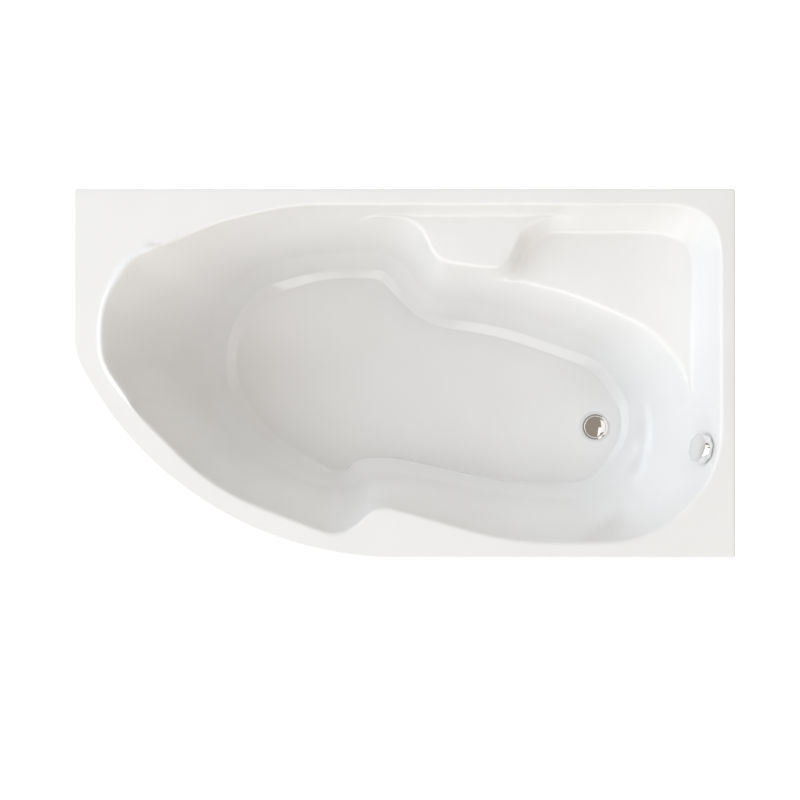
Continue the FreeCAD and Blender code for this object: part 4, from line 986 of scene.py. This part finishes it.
nodeCleaning = {"merge": 0.000005, "flatAngle": 1}
squareTubes = {
    "corner": 0.0026,
    "inner": 0.0010,
    "steps": 3,
    "longShare": 0.5,  # edges longer than this share of the tube run along it
    "cornerGap": 0.0001,  # nearer than this to two sides of its box: an outer corner
    "sideGap": 0.0008,  # nearer than this to one side: no inner corner
}
# rounding's width and segments, by the start of the node's name
softEdges = {"post_pad": (0.0012, 2), "base_board": (0.0008, 1), "foot_pad": (0.0012, 3)}
softAngle = 40


def copyNode(nodeName):
    # a copy of the node's mesh without doubled points and without edges inside flat faces
    name = "".join(word.capitalize() for word in nodeName.split("_"))
    piece = copyPiece(frame["nodes"][nodeName], name)
    editPiece(piece, "EDGE")
    bpy.ops.mesh.select_all(action="SELECT")
    bpy.ops.mesh.remove_doubles(threshold=nodeCleaning["merge"])
    bpy.ops.mesh.dissolve_limited(angle_limit=math.radians(nodeCleaning["flatAngle"]))
    bpy.ops.mesh.select_all(action="DESELECT")
    bpy.ops.object.mode_set(mode="OBJECT")
    return piece


def roundTube(nodeName):
    # the tube's long corners are rounded, the outer ones more than the inner ones
    piece = copyNode(nodeName)
    low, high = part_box(nodeName)
    spans = high - low
    axis = max(range(3), key=lambda k: spans[k])
    across = [k for k in range(3) if k != axis]
    for outer, width in ((True, squareTubes["corner"]), (False, squareTubes["inner"])):
        for edge in piece.data.edges:
            a, b = (piece.data.vertices[v].co for v in edge.vertices)
            gaps = [min(a[k] - low[k], high[k] - a[k]) for k in across]
            along = abs(a[axis] - b[axis]) > squareTubes["longShare"] * spans[axis]
            onCorner = max(gaps) < squareTubes["cornerGap"]
            onSide = min(gaps) < squareTubes["sideGap"]
            edge.select = along and (onCorner if outer else not onSide)
        editPiece(piece, "EDGE")
        bpy.ops.mesh.bevel(offset=width, segments=squareTubes["steps"])
        bpy.ops.mesh.select_all(action="SELECT")
        bpy.ops.mesh.remove_doubles(threshold=nodeCleaning["merge"])
        bpy.ops.mesh.select_all(action="DESELECT")
        bpy.ops.object.mode_set(mode="OBJECT")
    smoothPiece(piece)
    return piece


for nodeName in sorted(frame["nodes"]):
    if nodeName.startswith(("long_rail", "cross_rail", "post_")) and not nodeName.startswith("post_pad"):
        dress(roundTube(nodeName), nodeName)
    edges = next((softEdges[start] for start in softEdges if nodeName.startswith(start)), None)
    if edges:
        piece = copyNode(nodeName)
        roundEdges(piece, *edges, softAngle)
        smoothPiece(piece)
        dress(piece, nodeName)
print("frame and board rounded")

studio = {
    "floorSize": 24,
    "floorColour": (0.93, 0.93, 0.93),
    "floorRough": 0.9,
    "floorGlow": 0.5,
    "glowColour": (0.96, 0.98, 1.0),
    "skyColour": (0.30, 0.26, 0.22),
    "backdrop": (0.94, 0.94, 0.94),
}
# each light: place, what it points at, size, power and colour
studioLights = {
    "HeadLight": ((-7.794, 0, 5.0), (0.1, 0, 0.3), (6.4, 5.0), 300, (0.844, 0.920, 1.0)),
    "HeadLowLight": ((-8.8, 0, 2.2), (0.1, 0, 0.5), (6.4, 1.8), 46, (0.844, 0.920, 1.0)),
    "FrontLight": ((0, -7.794, 5.0), (0.1, 0, 0.3), (6.4, 5.0), 305, (0.999, 1.0, 0.986)),
    "FrontLowLight": ((0, -8.8, 2.2), (0.1, 0, 0.5), (6.4, 1.8), 64, (0.999, 1.0, 0.986)),
    "FrontHighLight": ((-3.182, -3.182, 8.294), (0.1, 0, 0.3), (4.4, 4.4), 196, (0.945, 0.957, 1.0)),
    "BackLight": ((0, 7.794, 5.0), (0.1, 0, 0.3), (6.4, 5.0), 98, (0.963, 1.0, 0.986)),
    "BackHeadLight": ((-5.511, 5.511, 5.0), (0.1, 0, 0.3), (5.0, 5.0), 146, (0.771, 0.873, 1.0)),
    "BackHighLight": ((3.182, 3.182, 8.294), (0.1, 0, 0.3), (4.4, 4.4), 150, (0.969, 0.993, 1.0)),
    "WindowLight": ((2.55, -2.0, 9.0), (2.55, -2.0, 0), (0.8, 3.2), 8, (1.0, 1.0, 1.0)),
    "HeadPanel": ((-7.6, 0, 4.9), (0.1, 0, 0.3), (6.4, 5.0), 185, (0.844, 0.920, 1.0)),
    "FootPanel": ((7.2, 0, 5.4), (0.1, 0, 0.3), (5.0, 3.6), 68, (1.0, 1.0, 1.0)),
    "FootHighPanel": ((3.95, 0, 8.1), (0.1, 0, 0.3), (4.0, 2.4), 21, (1.0, 1.0, 1.0)),
    "FootFrontPanel": ((5.0, -5.0, 5.4), (0.1, 0, 0.3), (5.6, 3.6), 84, (1.0, 1.0, 1.0)),
    "HeadFrontPanel": ((-5.0, -5.0, 5.4), (0.1, 0, 0.3), (5.6, 3.6), 84, (1.0, 1.0, 1.0)),
}
# these don't show in the chrome and the gloss, and the panels show only there
unmirrored = ("HeadLight", "FrontHighLight", "BackHighLight")
mirroredOnly = ("HeadPanel", "FootPanel", "FootHighPanel", "FootFrontPanel", "HeadFrontPanel")
bpy.ops.mesh.primitive_plane_add(size=studio["floorSize"], location=(0, 0, 0))
floor = bpy.context.object
floor.name = "StudioFloor"
floorMaterial, _, floorShader = newMaterial("paleFloor")
floorShader.inputs["Base Color"].default_value = (*studio["floorColour"], 1)
floorShader.inputs["Roughness"].default_value = studio["floorRough"]
floorShader.inputs["Emission Color"].default_value = (*studio["glowColour"], 1)
floorShader.inputs["Emission Strength"].default_value = studio["floorGlow"]
floor.data.materials.append(floorMaterial)

world = bpy.data.worlds.new("studioSky")
scene.world = world
world.use_nodes = True
skyTree = world.node_tree
sky = next(node for node in skyTree.nodes if node.type == "BACKGROUND")
rays = skyTree.nodes.new("ShaderNodeLightPath")
seen = mixColours(skyTree, rays.outputs["Is Camera Ray"], studio["skyColour"], studio["backdrop"])
skyTree.links.new(seen, sky.inputs["Color"])

for name, (place, aim, size, power, colour) in studioLights.items():
    bpy.ops.object.light_add(type="AREA", location=place)
    light = bpy.context.object
    light.name = name
    light.data.shape = "RECTANGLE"
    light.data.size, light.data.size_y = size
    light.data.energy = power
    light.data.color = colour
    light.visible_glossy = name not in unmirrored
    light.visible_diffuse = name not in mirroredOnly
    light.rotation_euler = (Vector(aim) - light.location).to_track_quat("-Z", "Y").to_euler()

view = {"place": (-0.0115, -0.068, 5.6), "lens": 87.7, "sensor": 36, "far": 50}
bpy.ops.object.camera_add(location=view["place"], rotation=(0, 0, 0))
camera = bpy.context.object
camera.data.lens = view["lens"]
camera.data.sensor_width = view["sensor"]
camera.data.clip_end = view["far"]
scene.camera = camera
scene.view_settings.view_transform = "Standard"

print("scene ready")
